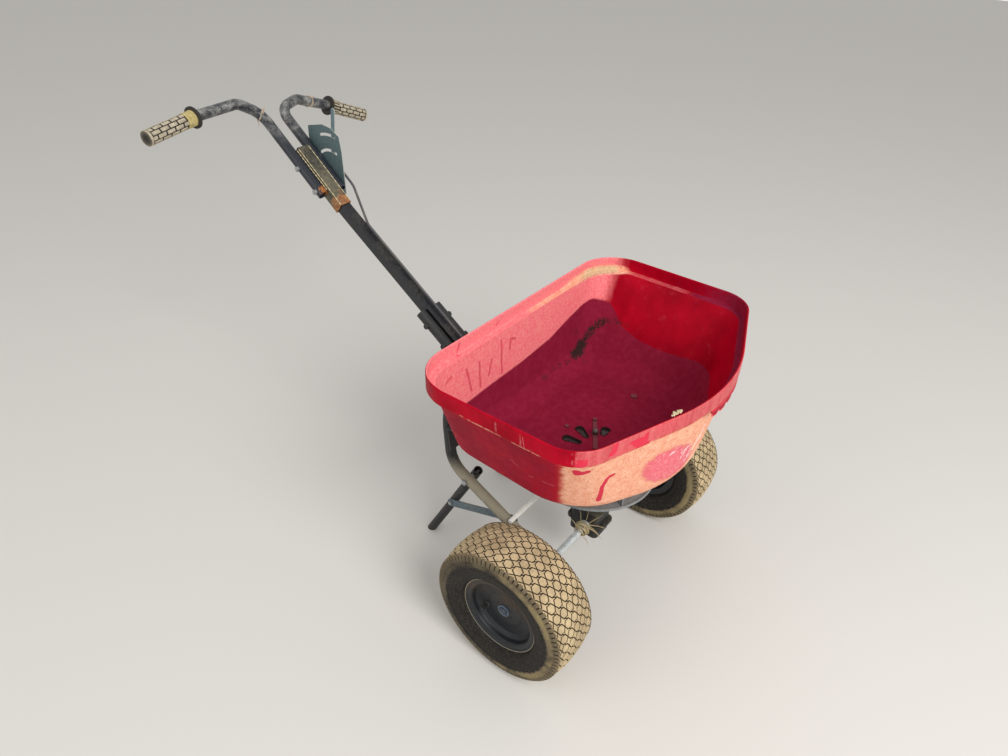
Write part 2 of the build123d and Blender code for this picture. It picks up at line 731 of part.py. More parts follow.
floor_top = floor_underside + hopper_wall
outer_floor_top = floor_top + floor_step
drops = drop_cylinders(gate_low - seat_gap, floor_top + drop_rim_height + seat_gap)
with BuildPart() as torn:
    with BuildSketch(Plane.XZ):
        with BuildLine():
            Polyline((torn_strip[0][0], ledge_height + seat_gap),
                     *[(x, ledge_height - down) for x, down in torn_strip],
                     (torn_strip[-1][0], ledge_height + seat_gap), close=True)
        make_face()
    extrude(amount=-rim_outline[4])
    add(torn_band, mode=Mode.INTERSECT)
with BuildPart() as hopper:
    add(tub)
    add(cavity, mode=Mode.SUBTRACT)
    with BuildSketch(Plane.XY.offset(floor_top)):
        with Locations((0, shaft_y)):
            Circle(floor_step_radius)
    extrude(amount=floor_step, mode=Mode.SUBTRACT)
    add(drop_cylinders(floor_top, floor_top + drop_rim_height, drop_rim))
    add(torn)
    add(drops, mode=Mode.SUBTRACT)
    with BuildSketch(Plane.XY.offset(floor_underside)):
        with Locations((0, shaft_y)):
            Circle(shaft_radius + bolt_gap)
        with Locations(*floor_bolts, *floor_rivets):
            Circle(floor_bolt_radius + bolt_gap)
    extrude(amount=outer_floor_top - floor_underside, mode=Mode.SUBTRACT)
save(hopper.part, "hopper")

with BuildPart() as gate:
    with BuildSketch(Plane.XY.offset(gate_low)):
        with Locations((0, shaft_y)):
            Circle(gate_radius)
        with Locations((rod_x, (shaft_y + gate_arm_end) / 2)):
            Rectangle(gate_arm_width, gate_arm_end - shaft_y)
        with Locations((0, shaft_y)):
            Circle(shaft_radius + gate_shaft_gap, mode=Mode.SUBTRACT)
        with Locations((rod_x, pin_y)):
            Circle(rod_radius + bolt_gap, mode=Mode.SUBTRACT)
    extrude(amount=gate_sheet)
    add(drops, mode=Mode.SUBTRACT)
save(gate.part, "flow_gate")

# Rails under the floor, from the frame tubes' upper bends

upright_lean = atan2(shoulder_point[1] - knee[1], shoulder_point[2] - knee[2])
tab_offset = (tube_radius + seat_gap) / cos(upright_lean)
rail_low = floor_underside - rail_sheet


def tab_y(z):
    """Where the tab's rear face stands at a height: just ahead of the tube's upright run."""
    return knee[1] + (z - knee[2]) * tan(upright_lean) - tab_offset


tab_low = floor_underside - rail_tab
tab_sheet = rail_sheet / cos(upright_lean)
for name, side in SIDES:
    with BuildPart() as rail:
        with BuildSketch(along_x(side * rail_x - rail_width / 2, 0, 0)):
            with BuildLine():
                Polyline((rail_front_y, rail_low), (rail_front_y, floor_underside),
                         (tab_y(floor_underside), floor_underside), (tab_y(tab_low), tab_low),
                         (tab_y(tab_low) - tab_sheet, tab_low),
                         (tab_y(rail_low) - tab_sheet, rail_low), close=True)
            make_face()
        extrude(amount=rail_width)
        with BuildSketch(Plane.XY.offset(rail_low)):
            with Locations((side * abs(floor_bolts[0][0]), floor_bolts[0][1])):
                Circle(floor_bolt_radius + bolt_gap)
        extrude(amount=rail_sheet, mode=Mode.SUBTRACT)
    save(rail.part, f"hopper_rail_{name}")

with BuildPart() as strap:
    with BuildSketch(Plane.XY.offset(floor_top + seat_gap)):
        with Locations((0, shaft_y)):
            SlotOverall(strap_length, strap_width, rotation=strap_turn)
            Circle(shaft_radius + bolt_gap + strap_sheet)
            Circle(shaft_radius + bolt_gap, mode=Mode.SUBTRACT)
        with Locations(*floor_rivets[1:]):
            Circle(floor_bolt_radius + bolt_gap, mode=Mode.SUBTRACT)
    extrude(amount=strap_sheet)
save(strap.part, "shaft_strap")

with BuildPart() as bolts:
    for x, y in floor_bolts:
        with BuildSketch(Plane.XY.offset(outer_floor_top + seat_gap)):
            with Locations((x, y)):
                Circle(floor_bolt_head)
        extrude(amount=floor_bolt_head_height)
        with BuildSketch(Plane.XY.offset(outer_floor_top + seat_gap)):
            with Locations((x, y)):
                Circle(floor_bolt_radius)
        extrude(amount=-(floor_step + hopper_wall + rail_sheet + floor_nut + floor_bolt_tip))
        with BuildSketch(Plane.XY.offset(floor_underside - rail_sheet - seat_gap)):
            with Locations((x, y)):
                RegularPolygon(floor_nut_radius, 6)
        extrude(amount=-floor_nut)
save(bolts.part, "hopper_bolts")

# The first rivet sits on the floor itself, the other two hold the strap's ends
with BuildPart() as rivets:
    for index, (x, y) in enumerate(floor_rivets):
        seat = floor_top + seat_gap + (strap_sheet + seat_gap if index else 0.0)
        with BuildSketch(Plane.XY.offset(seat)):
            with Locations((x, y)):
                Circle(rivet_head_radius)
        extrude(amount=floor_bolt_head_height)
        with BuildSketch(Plane.XY.offset(floor_underside)):
            with Locations((x, y)):
                Circle(floor_bolt_radius)
        extrude(amount=seat - floor_underside)
save(rivets.part, "floor_rivets")

# Gear case on the axle, spinner shaft with its ball end, and the spinner

with BuildPart() as case:
    with BuildSketch(Plane.XY.offset(case_bottom)):
        with Locations((case_x, shaft_y / 2)):
            RectangleRounded(case_length, case_width, case_corner)
    extrude(amount=case_shoulder - case_bottom)
    with BuildSketch(Plane.XY.offset(axle_height - case_ear_height / 2)):
        with Locations((case_x, shaft_y / 2)):
            RectangleRounded(case_length, case_width + 2 * case_ear, case_corner)
    extrude(amount=case_ear_height)
    with BuildSketch(Plane.XY.offset(case_shoulder)):
        with Locations((0, shaft_y)):
            Circle(case_neck_radius)
    extrude(amount=case_top - case_shoulder)
    add(cross_hole(0, axle_height, axle_radius + running_gap), mode=Mode.SUBTRACT)
    with BuildSketch(Plane.XY.offset(shaft_bottom - seat_gap)):
        with Locations((0, shaft_y)):
            Circle(shaft_radius + running_gap)
    extrude(amount=case_top, mode=Mode.SUBTRACT)
save(case.part, "gear_case")

shaft_top = floor_top + shaft_above_floor
with BuildPart() as shaft:
    with BuildSketch(Plane.XY.offset(shaft_bottom)):
        with Locations((0, shaft_y)):
            Circle(shaft_radius)
    extrude(amount=shaft_top - shaft_bottom)
    with Locations((0, shaft_y, shaft_top)):
        Sphere(shaft_ball_radius)
save(shaft.part, "spinner_shaft")

fin_outer_radius = spinner_radius - fin_end_gap
with BuildPart() as spinner:
    with BuildSketch(Plane.XY.offset(spinner_height)):
        with Locations((0, shaft_y)):
            Circle(spinner_radius)
    extrude(amount=spinner_sheet)
    with BuildSketch(Plane.XY.offset(spinner_height)):
        with Locations((0, shaft_y)):
            Circle(spinner_hub_radius)
    extrude(amount=spinner_hub_height)
    with BuildSketch(Plane.XY.offset(spinner_height + spinner_sheet / 2)):
        with Locations((0, shaft_y)):
            with PolarLocations((fin_outer_radius + fin_inner_radius) / 2, fin_count):
                Rectangle(fin_outer_radius - fin_inner_radius, fin_sheet)
    extrude(amount=fin_height)
    with BuildSketch(Plane.XY.offset(spinner_height)):
        with Locations((0, shaft_y)):
            Circle(spinner_radius)
            Circle(spinner_radius - spinner_lip_sheet, mode=Mode.SUBTRACT)
    extrude(amount=spinner_lip)
    with BuildSketch(Plane.XY.offset(spinner_height)):
        with Locations((0, shaft_y)):
            Circle(shaft_radius + running_gap)
    extrude(amount=spinner_hub_height, mode=Mode.SUBTRACT)
save(spinner.part, "spinner")
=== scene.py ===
"""Looks of a weathered walk-behind broadcast spreader, in metres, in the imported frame.

Forward is -Y, the operator walks at +Y, and the side nearest the camera is the right, -X.
The machine is followed in the order it goes together: wheels, axle and drive, frame and legs,
hopper, column and handle, flow control, then the floor, light and camera.
"""
import math

import bmesh
import bpy
import numpy as np
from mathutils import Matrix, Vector
from mathutils.geometry import delaunay_2d_cdt


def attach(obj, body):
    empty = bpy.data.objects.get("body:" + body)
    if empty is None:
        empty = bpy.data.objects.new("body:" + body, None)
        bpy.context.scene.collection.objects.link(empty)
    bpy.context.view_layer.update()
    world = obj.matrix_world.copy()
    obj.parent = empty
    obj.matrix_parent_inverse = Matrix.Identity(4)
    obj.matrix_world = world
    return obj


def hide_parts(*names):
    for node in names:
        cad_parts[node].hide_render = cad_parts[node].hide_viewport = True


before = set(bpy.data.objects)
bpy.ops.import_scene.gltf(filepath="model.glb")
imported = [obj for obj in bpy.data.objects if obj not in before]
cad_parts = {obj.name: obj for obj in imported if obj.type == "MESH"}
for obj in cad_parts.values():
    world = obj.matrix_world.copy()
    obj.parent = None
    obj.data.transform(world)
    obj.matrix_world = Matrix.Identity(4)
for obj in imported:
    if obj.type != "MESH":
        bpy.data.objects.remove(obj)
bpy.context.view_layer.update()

# Tyres: moulded rubber turf tyres on a carcass 128 mm wide. The tread is a running pattern of
# hexagons and S-shaped blocks, tan with dried soil on top and black in the grooves; a row of
# square lugs runs round each shoulder.

AXLE_Y = -0.4233
AXLE_Z = 0.165
HALF_TRACK = 0.3038
# The radius of the tread's crown, across the wheel, and half the width of a groove
CROWN_BEND = 0.220
GROOVE = 0.0009
TREAD_HALF = 0.0577
LUG_COUNT = 84
PITCHES = 42
PITCH_ACROSS = 0.020
PITCH_AROUND = 2 * math.pi * AXLE_Z / PITCHES
GROOVE_DEPTH = 0.0042


def srgb(code):
    """Linear RGBA of a six-digit sRGB colour."""
    parts = [int(code[i:i + 2], 16) / 255 for i in (0, 2, 4)]
    return (*[c / 12.92 if c <= 0.04045 else ((c + 0.055) / 1.055) ** 2.4 for c in parts], 1.0)


def feed(tree, socket, value):
    """Links an input to an output, or sets it; a hex code is turned to its linear colour."""
    if isinstance(value, bpy.types.NodeSocket):
        tree.links.new(value, socket)
    else:
        socket.default_value = srgb(value) if isinstance(value, str) else value


def put(tree, kind, *values, **settings):
    """Adds one node with its settings, feeds its inputs in order and gives back an output.

    kind is Blender's name for the node or one of the sets below. A set's "feeds" says which
    inputs the values go to, and "gives" which output comes back, or None for all of them.
    """
    if isinstance(kind, dict):
        settings = {**kind, **settings}
        kind = settings.pop("node")
    feeds, gives = settings.pop("feeds", range(len(values))), settings.pop("gives", 0)
    node = tree.nodes.new(kind)
    for key, value in settings.items():
        setattr(node, key, value)
    for key, value in zip(feeds, values):
        feed(tree, node.inputs[key], value)
    return node.outputs if gives is None else node.outputs[gives]


PLUS = {"node": "ShaderNodeMath", "operation": "ADD"}
MINUS = {"node": "ShaderNodeMath", "operation": "SUBTRACT"}
TIMES = {"node": "ShaderNodeMath", "operation": "MULTIPLY"}
OVER = {"node": "ShaderNodeMath", "operation": "DIVIDE"}
LARGER = {"node": "ShaderNodeMath", "operation": "MAXIMUM"}
APART = {"node": "ShaderNodeVectorMath", "operation": "SUBTRACT"}
STRETCHED = {"node": "ShaderNodeVectorMath", "operation": "MULTIPLY"}
SPLIT = {"node": "ShaderNodeSeparateXYZ", "gives": None}
# A vertex attribute: where a piece is worn, soiled or bleached
WEAR = {"node": "ShaderNodeAttribute", "gives": "Fac"}
# 0 at the first bound, 1 at the second and smooth between
SMOOTH = {"node": "ShaderNodeMapRange", "interpolation_type": "SMOOTHSTEP"}
# From the first bound where the value is 0 to the second where it is 1
SPREAD = {"node": "ShaderNodeMapRange", "feeds": (0, 3, 4)}
# The first colour where the share is 0, the second where it is 1
MIX = {"node": "ShaderNodeMix", "data_type": "RGBA", "feeds": (0, 6, 7), "gives": 2}
# Fractal noise about 0.5; its scale is 1000 over the size of a patch in millimetres
CLOUDS = {"node": "ShaderNodeTexNoise", "feeds": ("Vector", "Scale", "Detail", "Roughness")}


def new_material(name):
    """A plain material with its tree, its surface shader and its texture coordinates."""
    material = bpy.data.materials.new(name)
    material.use_nodes = True
    tree = material.node_tree
    shader = tree.nodes["Principled BSDF"]
    return material, tree, shader, put(tree, "ShaderNodeTexCoord", gives=None)


def finish_surface(tree, shader, colour, roughness, metallic=0.0, height=None, depth=0.00025):
    """Feeds the surface shader; height is a 0 to 1 relief of that depth in metres."""
    for key, value in (("Base Color", colour), ("Roughness", roughness), ("Metallic", metallic)):
        feed(tree, shader.inputs[key], value)
    if height is not None:
        bump = put(tree, "ShaderNodeBump", height, depth, 1.0, feeds=("Height", "Distance", "Strength"))
        feed(tree, shader.inputs["Normal"], bump)


def solid(name, vertices, faces, material, sharp, wear=None):
    """A closed mesh with outward normals, smooth below sharp degrees.

    wear gives named values per vertex.
    """
    mesh = bpy.data.meshes.new(name)
    mesh.from_pydata([tuple(v) for v in vertices], [], [tuple(f) for f in faces])
    for key, values in (wear or {}).items():
        values = np.asarray(values, dtype=np.float32)
        kind = "FLOAT_VECTOR" if values.ndim == 2 else "FLOAT"
        layer = mesh.attributes.new(key, kind, "POINT")
        layer.data.foreach_set("vector" if values.ndim == 2 else "value", values.ravel())
    work = bmesh.new()
    work.from_mesh(mesh)
    bmesh.ops.remove_doubles(work, verts=work.verts, dist=1e-6)
    bmesh.ops.recalc_face_normals(work, faces=work.faces)
    work.to_mesh(mesh)
    work.free()
    mesh.shade_smooth()
    mesh.set_sharp_from_angle(angle=math.radians(sharp))
    mesh.materials.append(material)
    thing = bpy.data.objects.new(name, mesh)
    bpy.context.collection.objects.link(thing)
    return thing


def band(first, second):
    """Faces between two closed loops of vertex numbers."""
    following = [(k + 1) % len(first) for k in range(len(first))]
    return [(first[k], first[j], second[j], second[k]) for k, j in enumerate(following)]


def turned(profile, steps, place):
    """Vertices and faces of a closed profile of (along, radius) turned about its axis."""
    vertices = []
    for step in range(steps):
        angle = 2 * math.pi * step / steps
        vertices += [place(along, radius, angle) for along, radius in profile]
    count = len(profile)
    loops = [range(step * count, (step + 1) * count) for step in range(steps)]
    return vertices, [face for pair in zip(loops, loops[1:] + loops[:1]) for face in band(*pair)]


def crown(across):
    """Radius of the tread's top at a distance from the wheel's centre plane."""
    return AXLE_Z - (CROWN_BEND - math.sqrt(CROWN_BEND ** 2 - across ** 2))


def on_wheel(side):
    """Gives the function that puts a wheel's (outboard, radius, angle) into the frame."""
    def place(outboard, radius, angle):
        return (side * (HALF_TRACK + outboard), AXLE_Y + radius * math.cos(angle),
                AXLE_Z + radius * math.sin(angle))
    return place


def inset_polygon(points, distance):
    """A polygon moved inwards along the bisectors of its corners; points run anticlockwise."""
    result = []
    count = len(points)
    for index in range(count):
        before, here, after = (Vector(points[(index + k) % count]) for k in (-1, 0, 1))
        first, second = (here - before).normalized(), (after - here).normalized()
        inward = Vector((-first.y - second.y, first.x + second.x))
        inward /= max(inward.length, 1e-9)
        lean = max(0.5, inward.dot(Vector((-first.y, first.x))))
        result.append(tuple(here + inward * distance / lean))
    return result


def clip_polygon(points, limit):
    """What is left of a polygon between -limit and +limit across."""
    for way in (1, -1):
        kept = []
        for a, b in zip(points, points[1:] + points[:1]):
            inside_a, inside_b = way * a[0] <= limit, way * b[0] <= limit
            if inside_a:
                kept.append(a)
            if inside_a != inside_b:
                t = (way * limit - a[0]) / (b[0] - a[0])
                kept.append((way * limit, a[1] + t * (b[1] - a[1])))
        points = kept
    return points


def tread_slice():
    """The blocks of one pitch of tread, standing around the axle's line at the origin."""
    vertices, faces, top = [], [], []
    a, p = PITCH_AROUND, PITCH_ACROSS
    hexagon = [(-0.25 * p, -0.4 * a), (0.25 * p, -0.4 * a), (0.5 * p, 0), (0.25 * p, 0.4 * a),
               (-0.25 * p, 0.4 * a), (-0.5 * p, 0)]
    bend = 0.0015  # How far the S-shaped block's ends lean round the wheel
    wave = [(0, 0), (0.25 * p, 0.4 * a), (0.5 * p, 0.4 * a + bend), (0.5 * p, 0.6 * a + bend),
            (0.25 * p, 0.6 * a), (0, a), (-0.25 * p, 0.6 * a), (-0.5 * p, 0.6 * a - bend),
            (-0.5 * p, 0.4 * a - bend), (-0.25 * p, 0.4 * a)]
    blocks = [[(x + column * p, y) for x, y in hexagon] for column in range(-3, 4)]
    blocks += [[(x + (column + 0.5) * p, y) for x, y in wave] for column in range(-4, 4)]
    for block in blocks:
        block = clip_polygon(inset_polygon(block, GROOVE), TREAD_HALF)
        if len(block) < 3 or max(x for x, _ in block) - min(x for x, _ in block) < 0.003:
            continue
        start = len(vertices)
        for inset, depth, shown in ((0.0, GROOVE_DEPTH + 0.001, 0.0), (0.0, 0.0007, 0.55),
                                    (0.0007, 0.0, 1.0)):
            ring = inset_polygon(block, inset)
            for across, around in ring:
                radius, angle = crown(across) - depth, around / AXLE_Z
                vertices.append((across, radius * math.cos(angle), radius * math.sin(angle)))
                top.append(shown)
        foot, side, face = (range(start + k * len(block), start + (k + 1) * len(block)) for k in range(3))
        faces += [*band(foot, side), *band(side, face), face, foot[::-1]]
    return vertices, faces, top


def lug_slice():
    """One shoulder lug on each side of the tyre, at the same place."""
    vertices, faces, top = [], [], []
    half = 0.36 * 2 * math.pi / LUG_COUNT
    # Across and radius, from the tread's shoulder down the side wall
    outer = [(0.0560, 0.1590), (0.0582, 0.1570), (0.0612, 0.1500), (0.0626, 0.1440), (0.0612, 0.1415)]
    inner = [(0.0540, 0.1560), (0.0560, 0.1540), (0.0585, 0.1480), (0.0596, 0.1435), (0.0596, 0.1415)]
    for side in (1, -1):
        start = len(vertices)
        for angle in (-half, half):
            for across, radius in outer + inner[::-1]:
                vertices.append((side * across, radius * math.cos(angle), radius * math.sin(angle)))
                top.append(0.62 if (across, radius) in outer else 0.0)
        middle = (start + len(vertices)) // 2
        low, high = range(start, middle), range(middle, len(vertices))
        faces += [low, high[::-1], *band(low, high)]
    return vertices, faces, top


def ring_tree():
    """Geometry nodes that stand copies of one slice around an axle."""
    tree = bpy.data.node_groups.new("Copies around an axle", "GeometryNodeTree")
    sides = (("Geometry", "OUTPUT", "NodeSocketGeometry"), ("Slice", "INPUT", "NodeSocketObject"),
             ("Count", "INPUT", "NodeSocketInt"), ("Centre", "INPUT", "NodeSocketVector"),
             ("Material", "INPUT", "NodeSocketMaterial"))
    for label, way, kind in sides:
        tree.interface.new_socket(label, in_out=way, socket_type=kind)
    given = put(tree, "NodeGroupInput", gives=None)
    points = put(tree, "GeometryNodePoints", given["Count"], given["Centre"])
    index = put(tree, "GeometryNodeInputIndex")
    turn = put(tree, OVER, put(tree, TIMES, index, 2 * math.pi), given["Count"])
    rotation = put(tree, "FunctionNodeAxisAngleToRotation", (1, 0, 0), turn)
    piece = put(tree, "GeometryNodeObjectInfo", given["Slice"], gives="Geometry")
    copies = put(tree, "GeometryNodeInstanceOnPoints", points, piece, rotation,
                 feeds=("Points", "Instance", "Rotation"))
    real = put(tree, "GeometryNodeRealizeInstances", copies)
    painted = put(tree, "GeometryNodeSetMaterial", real, given["Material"], feeds=("Geometry", "Material"))
    put(tree, "NodeGroupOutput", painted, gives=None)
    return tree


def grown(name, tree, values):
    """The plain mesh object that a node tree makes with these named inputs."""
    host = bpy.data.objects.new(name, bpy.data.meshes.new(name))
    bpy.context.collection.objects.link(host)
    modifier = host.modifiers.new("Grow", "NODES")
    modifier.node_group = tree
    for item in tree.interface.items_tree:
        if item.in_out == "INPUT" and item.name in values:
            modifier[item.identifier] = values[item.name]
    bpy.context.view_layer.update()
    made = bpy.data.meshes.new_from_object(host.evaluated_get(bpy.context.evaluated_depsgraph_get()))
    host.modifiers.remove(modifier)
    host.data = made
    return host


def tyre_rubber():
    """Moulded rubber: matt black, tan with dried soil on the blocks, olive on the side's bulge, more of it
    towards the front, which is painted light.
    """
    material, tree, shader, where = new_material("Soiled tyre rubber")
    spot = where["Object"]
    # Soil in patches of 45 mm that break up at 8 mm. Real grit is finer and is drawn at 1.1 mm,
    # the finest that shows.
    big = put(tree, CLOUDS, spot, 1000 / 45.5, 4.0, 0.55)
    mid = put(tree, CLOUDS, spot, 1000 / 7.69, 5.0, 0.55)
    grit = put(tree, CLOUDS, spot, 1000 / 1.11, 3.0, 0.7)
    offset = put(tree, APART, spot, (0, AXLE_Y, AXLE_Z))
    flat = put(tree, STRETCHED, offset, (0, 1, 1))
    radius = put(tree, "ShaderNodeVectorMath", flat, operation="LENGTH", gives="Value")
    top = put(tree, WEAR, attribute_name="top")
    wobble = put(tree, TIMES, put(tree, MINUS, mid, 0.5), 0.012)
    ring_at = put(tree, PLUS, radius, wobble)
    bulge = put(tree, SMOOTH, ring_at, 0.129, 0.137)
    bulge = put(tree, TIMES, bulge, put(tree, SMOOTH, ring_at, 0.1485, 0.1455))
    ahead = put(tree, SPLIT, offset)[1]
    # The olive band grows towards the front and fades at the back: painted light on the side of the bulge
    # that faces the light
    painted_light_front = put(tree, PLUS, put(tree, TIMES, put(tree, SMOOTH, ahead, 0.05, -0.06), 0.75), 0.25)
    bulge = put(tree, TIMES, put(tree, TIMES, bulge, put(tree, SMOOTH, big, 0.22, 0.62)), painted_light_front)
    grooves = put(tree, SMOOTH, radius, 0.150, 0.155)
    soil = put(tree, LARGER, put(tree, SMOOTH, top, 0.45, 0.95), put(tree, TIMES, bulge, 0.85))
    film = put(tree, TIMES, put(tree, SMOOTH, put(tree, CLOUDS, spot, 1000 / 3.85, 4.0, 0.55), 0.42, 0.72),
               0.08)
    soil = put(tree, LARGER, soil, film)
    soil = put(tree, TIMES, soil, put(tree, SMOOTH, grit, 0.16, 0.42), use_clamp=True)
    tan = put(tree, MIX, put(tree, SMOOTH, big, 0.35, 0.7), "B29D7A", "D0BA92")
    tan = put(tree, MIX, put(tree, SMOOTH, mid, 0.5, 0.8), tan, "9C8F73")
    tan = put(tree, MIX, put(tree, TIMES, bulge, 0.75), tan, "7F7248")
    rubber = put(tree, MIX, put(tree, SMOOTH, grit, 0.3, 0.8), "100F0E", "1B1917")
    rubber = put(tree, MIX, put(tree, TIMES, grooves, put(tree, SMOOTH, mid, 0.3, 0.7)), rubber, "54462F")
    colour = put(tree, MIX, put(tree, TIMES, soil, 0.93), rubber, tan)
    rough = put(tree, SPREAD, soil, 0.62, 0.93)
    relief = put(tree, PLUS, put(tree, TIMES, grit, 0.6), mid)
    finish_surface(tree, shader, colour, rough, height=relief, depth=0.0003)
    # Rubber full of soil throws back little of the sky
    shader.inputs["Specular IOR Level"].default_value = 0.25
    return material


rubber = tyre_rubber()
copies_around = ring_tree()
slices = {}
for label, (vertices, faces, top) in (("tread_slice", tread_slice()), ("lug_slice", lug_slice())):
    slices[label] = solid(label, vertices, faces, rubber, 40.0, {"top": top})

# Half of the carcass outline from the crown to the bead, then back along the inside
outside = [(u, crown(u) - GROOVE_DEPTH) for u in np.linspace(0.0, 0.0560, 15)]
outside += [(0.0585, 0.1515), (0.0598, 0.1475), (0.0606, 0.1450), (0.0626, 0.1438), (0.0637, 0.1400),
            (0.0640, 0.1340), (0.0638, 0.1290), (0.0626, 0.1270), (0.0630, 0.1255), (0.0624, 0.1190),
            (0.0606, 0.1100), (0.0580, 0.1020), (0.0560, 0.0990), (0.0562, 0.0968), (0.0545, 0.0950),
            (0.0500, 0.0926), (0.0463, 0.0915), (0.0463, 0.0790)]
inside = [(0.0300, 0.0790), (0.0390, 0.0960), (0.0520, 0.1080), (0.0560, 0.1240), (0.0530, 0.1400),
          (0.0460, 0.1480), (0.0250, 0.1520)]
half_outline = outside + inside
carcass = half_outline + [(0.0, 0.1530)] + [(-u, r) for u, r in half_outline[:0:-1]]

for name, side in (("right", -1), ("left", 1)):
    vertices, faces = turned(carcass, 4 * PITCHES, on_wheel(side))
    tyre = solid(f"carcass_{name}", vertices, faces, rubber, 45.0)
    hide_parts(f"tyre_{name}")
    pieces = [tyre]
    for label, count in (("tread_slice", PITCHES), ("lug_slice", LUG_COUNT)):
        pieces.append(grown(f"{label}s_{name}", copies_around, {
            "Slice": slices[label], "Count": count, "Centre": (side * HALF_TRACK, AXLE_Y, AXLE_Z),
            "Material": rubber}))
    for piece in pieces:
        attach(piece, "free_wheel" if name == "right" else "drive_wheel")
for piece in slices.values():
    bpy.data.objects.remove(piece)

# Rims: pressed steel, painted black and dished, with a thin rolled edge against the tyre, a
# step around the disc and a grey cap over the axle's end. Brown dust lies in the dish.


GAP = {"node": "ShaderNodeVectorMath", "operation": "DISTANCE", "gives": "Value"}


def weathered(name, clean, worn, dust="A3906A", cover=0.35, lie=0.3, metallic=0.0, roughness=0.5,
              coarse=62.5, rust=0.0, dust_between=None, rust_at=None, edges=None):
    """A painted, plated or plastic surface: two tones, dust that lies on top, and rust by amount.

    coarse is the size of its larger patches in millimetres, and they break up into ninths. The
    grain of the dust is 0.9 mm, coarser than real dust, because finer wouldn't show. dust_between
    gives the height where the dust is whole and the one where it is gone, rust_at a point and the
    distance from it within which rust has broken through, and edges the colour of the faces that
    don't face sideways.
    """
    material, tree, shader, where = new_material(name)
    spot = where["Object"]
    big = put(tree, CLOUDS, spot, 1000 / coarse, 5.0, 0.55)
    mid = put(tree, CLOUDS, spot, 1000 / (coarse / 9), 5.0, 0.62)
    grit = put(tree, CLOUDS, spot, 1000 / 0.909, 2.0, 0.55)
    up = put(tree, SPLIT, where["Normal"])[2]
    lying = put(tree, TIMES, put(tree, LARGER, up, -0.3), lie)
    amount = put(tree, PLUS, put(tree, PLUS, big, put(tree, TIMES, mid, 0.6)), lying)
    amount = put(tree, PLUS, amount, cover - 0.8)
    film = put(tree, SMOOTH, amount, 0.15, 0.75)
    film = put(tree, TIMES, film, put(tree, SMOOTH, grit, 0.2, 0.5), use_clamp=True)
    if dust_between:
        height = put(tree, SPLIT, spot)[2]
        film = put(tree, TIMES, film, put(tree, SMOOTH, height, dust_between[1], dust_between[0]))
    colour = put(tree, MIX, put(tree, SMOOTH, mid, 0.35, 0.7), clean, worn)
    if edges:
        sideways = put(tree, "ShaderNodeMath", put(tree, SPLIT, where["Normal"])[0], operation="ABSOLUTE")
        colour = put(tree, MIX, put(tree, SMOOTH, sideways, 0.6, 0.4), colour, edges)
    metal = metallic
    if rust:
        spots = put(tree, CLOUDS, spot, 1000 / (coarse / 5), 7.0, 0.7)
        level = spots
        if rust_at:
            gap = put(tree, GAP, spot, rust_at[0])
            level = put(tree, PLUS, spots, put(tree, TIMES, put(tree, SMOOTH, gap, rust_at[1], 0.0), 0.55))
        rusty = put(tree, SMOOTH, level, 0.78 - 0.5 * rust, 0.86 - 0.45 * rust)
        shades = put(tree, MIX, put(tree, SMOOTH, mid, 0.3, 0.7), "6B371B", "BA7638")
        colour = put(tree, MIX, rusty, colour, shades)
        metal = put(tree, TIMES, put(tree, MINUS, 1.0, rusty), metallic)
    colour = put(tree, MIX, put(tree, TIMES, film, 0.88), colour, dust)
    if metallic:
        metal = put(tree, TIMES, put(tree, MINUS, 1.0, film), metal)
    rough = put(tree, SPREAD, film, roughness, 0.92)
    relief = put(tree, PLUS, mid, put(tree, TIMES, grit, 0.5))
    finish_surface(tree, shader, colour, rough, metal, relief)
    return material


def paint(names, material):
    """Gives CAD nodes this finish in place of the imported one."""
    for name in names:
        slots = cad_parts[name].data.materials
        slots.clear()
        slots.append(material)


# Enamel on pressed steel: a soft black sheen, brown where dust lies in the upper half of the dish
rim_paint = weathered("Dusty black rim paint", "121418", "1C1F24", "5E4C36", cover=0.48, lie=0.0,
                      roughness=0.5, dust_between=(0.225, 0.150))
# A pale ring on the rim's rolled edge against the tyre, quite matt: a painted highlight on that edge
rim_edge_highlight = weathered("Pale highlight along the rim", "8C8676", "6E6654", "A39B86", cover=0.5, lie=0.0,
                     roughness=0.9)
# Moulded plastic with a low even sheen, in two greys
cap_plastic = weathered("Blue grey cap", "5E6E80", "46505C", "8C8472", cover=0.1, lie=0.0, roughness=0.45)
cap_dark = weathered("Dark cap middle", "2B333D", "3A434E", "6C675B", cover=0.1, lie=0.0, roughness=0.45)
# Moulded rubber: dull, and as dark as the paint around it
valve_rubber = weathered("Valve rubber", "1A1918", "2A2826", cover=0.15, lie=0.0, roughness=0.6)

# Closed outline of the rim, outboard then radius: rolled edge, seat, disc with its plateau, hub
rim_outline = [(0.0490, 0.0905), (0.0496, 0.0900), (0.0497, 0.0890), (0.0496, 0.0878), (0.0488, 0.0870),
               (0.0476, 0.0862), (0.0474, 0.0838), (0.0468, 0.0800), (0.0456, 0.0772), (0.0440, 0.0758),
               (0.0415, 0.0751), (0.0360, 0.0749), (0.0340, 0.0742), (0.0322, 0.0726), (0.0296, 0.0700),
               (0.0276, 0.0682), (0.0268, 0.0672), (0.0265, 0.0660), (0.0265, 0.0430), (0.0268, 0.0424),
               (0.0277, 0.0406), (0.0280, 0.0398), (0.0280, 0.0232), (0.0283, 0.0215), (0.0292, 0.0199),
               (0.0298, 0.0191), (0.0300, 0.0180), (0.0300, 0.00815), (-0.0420, 0.00815),
               (-0.0420, 0.0190), (0.0215, 0.0190), (0.0230, 0.0220), (0.0235, 0.0260), (0.0235, 0.0645),
               (0.0205, 0.0632), (-0.0205, 0.0632), (-0.0345, 0.0750), (-0.0497, 0.0750),
               (-0.0497, 0.0905), (-0.0467, 0.0905), (-0.0467, 0.0780), (-0.0320, 0.0780),
               (-0.0200, 0.0660), (0.0200, 0.0660), (0.0320, 0.0780), (0.0467, 0.0780), (0.0467, 0.0905)]
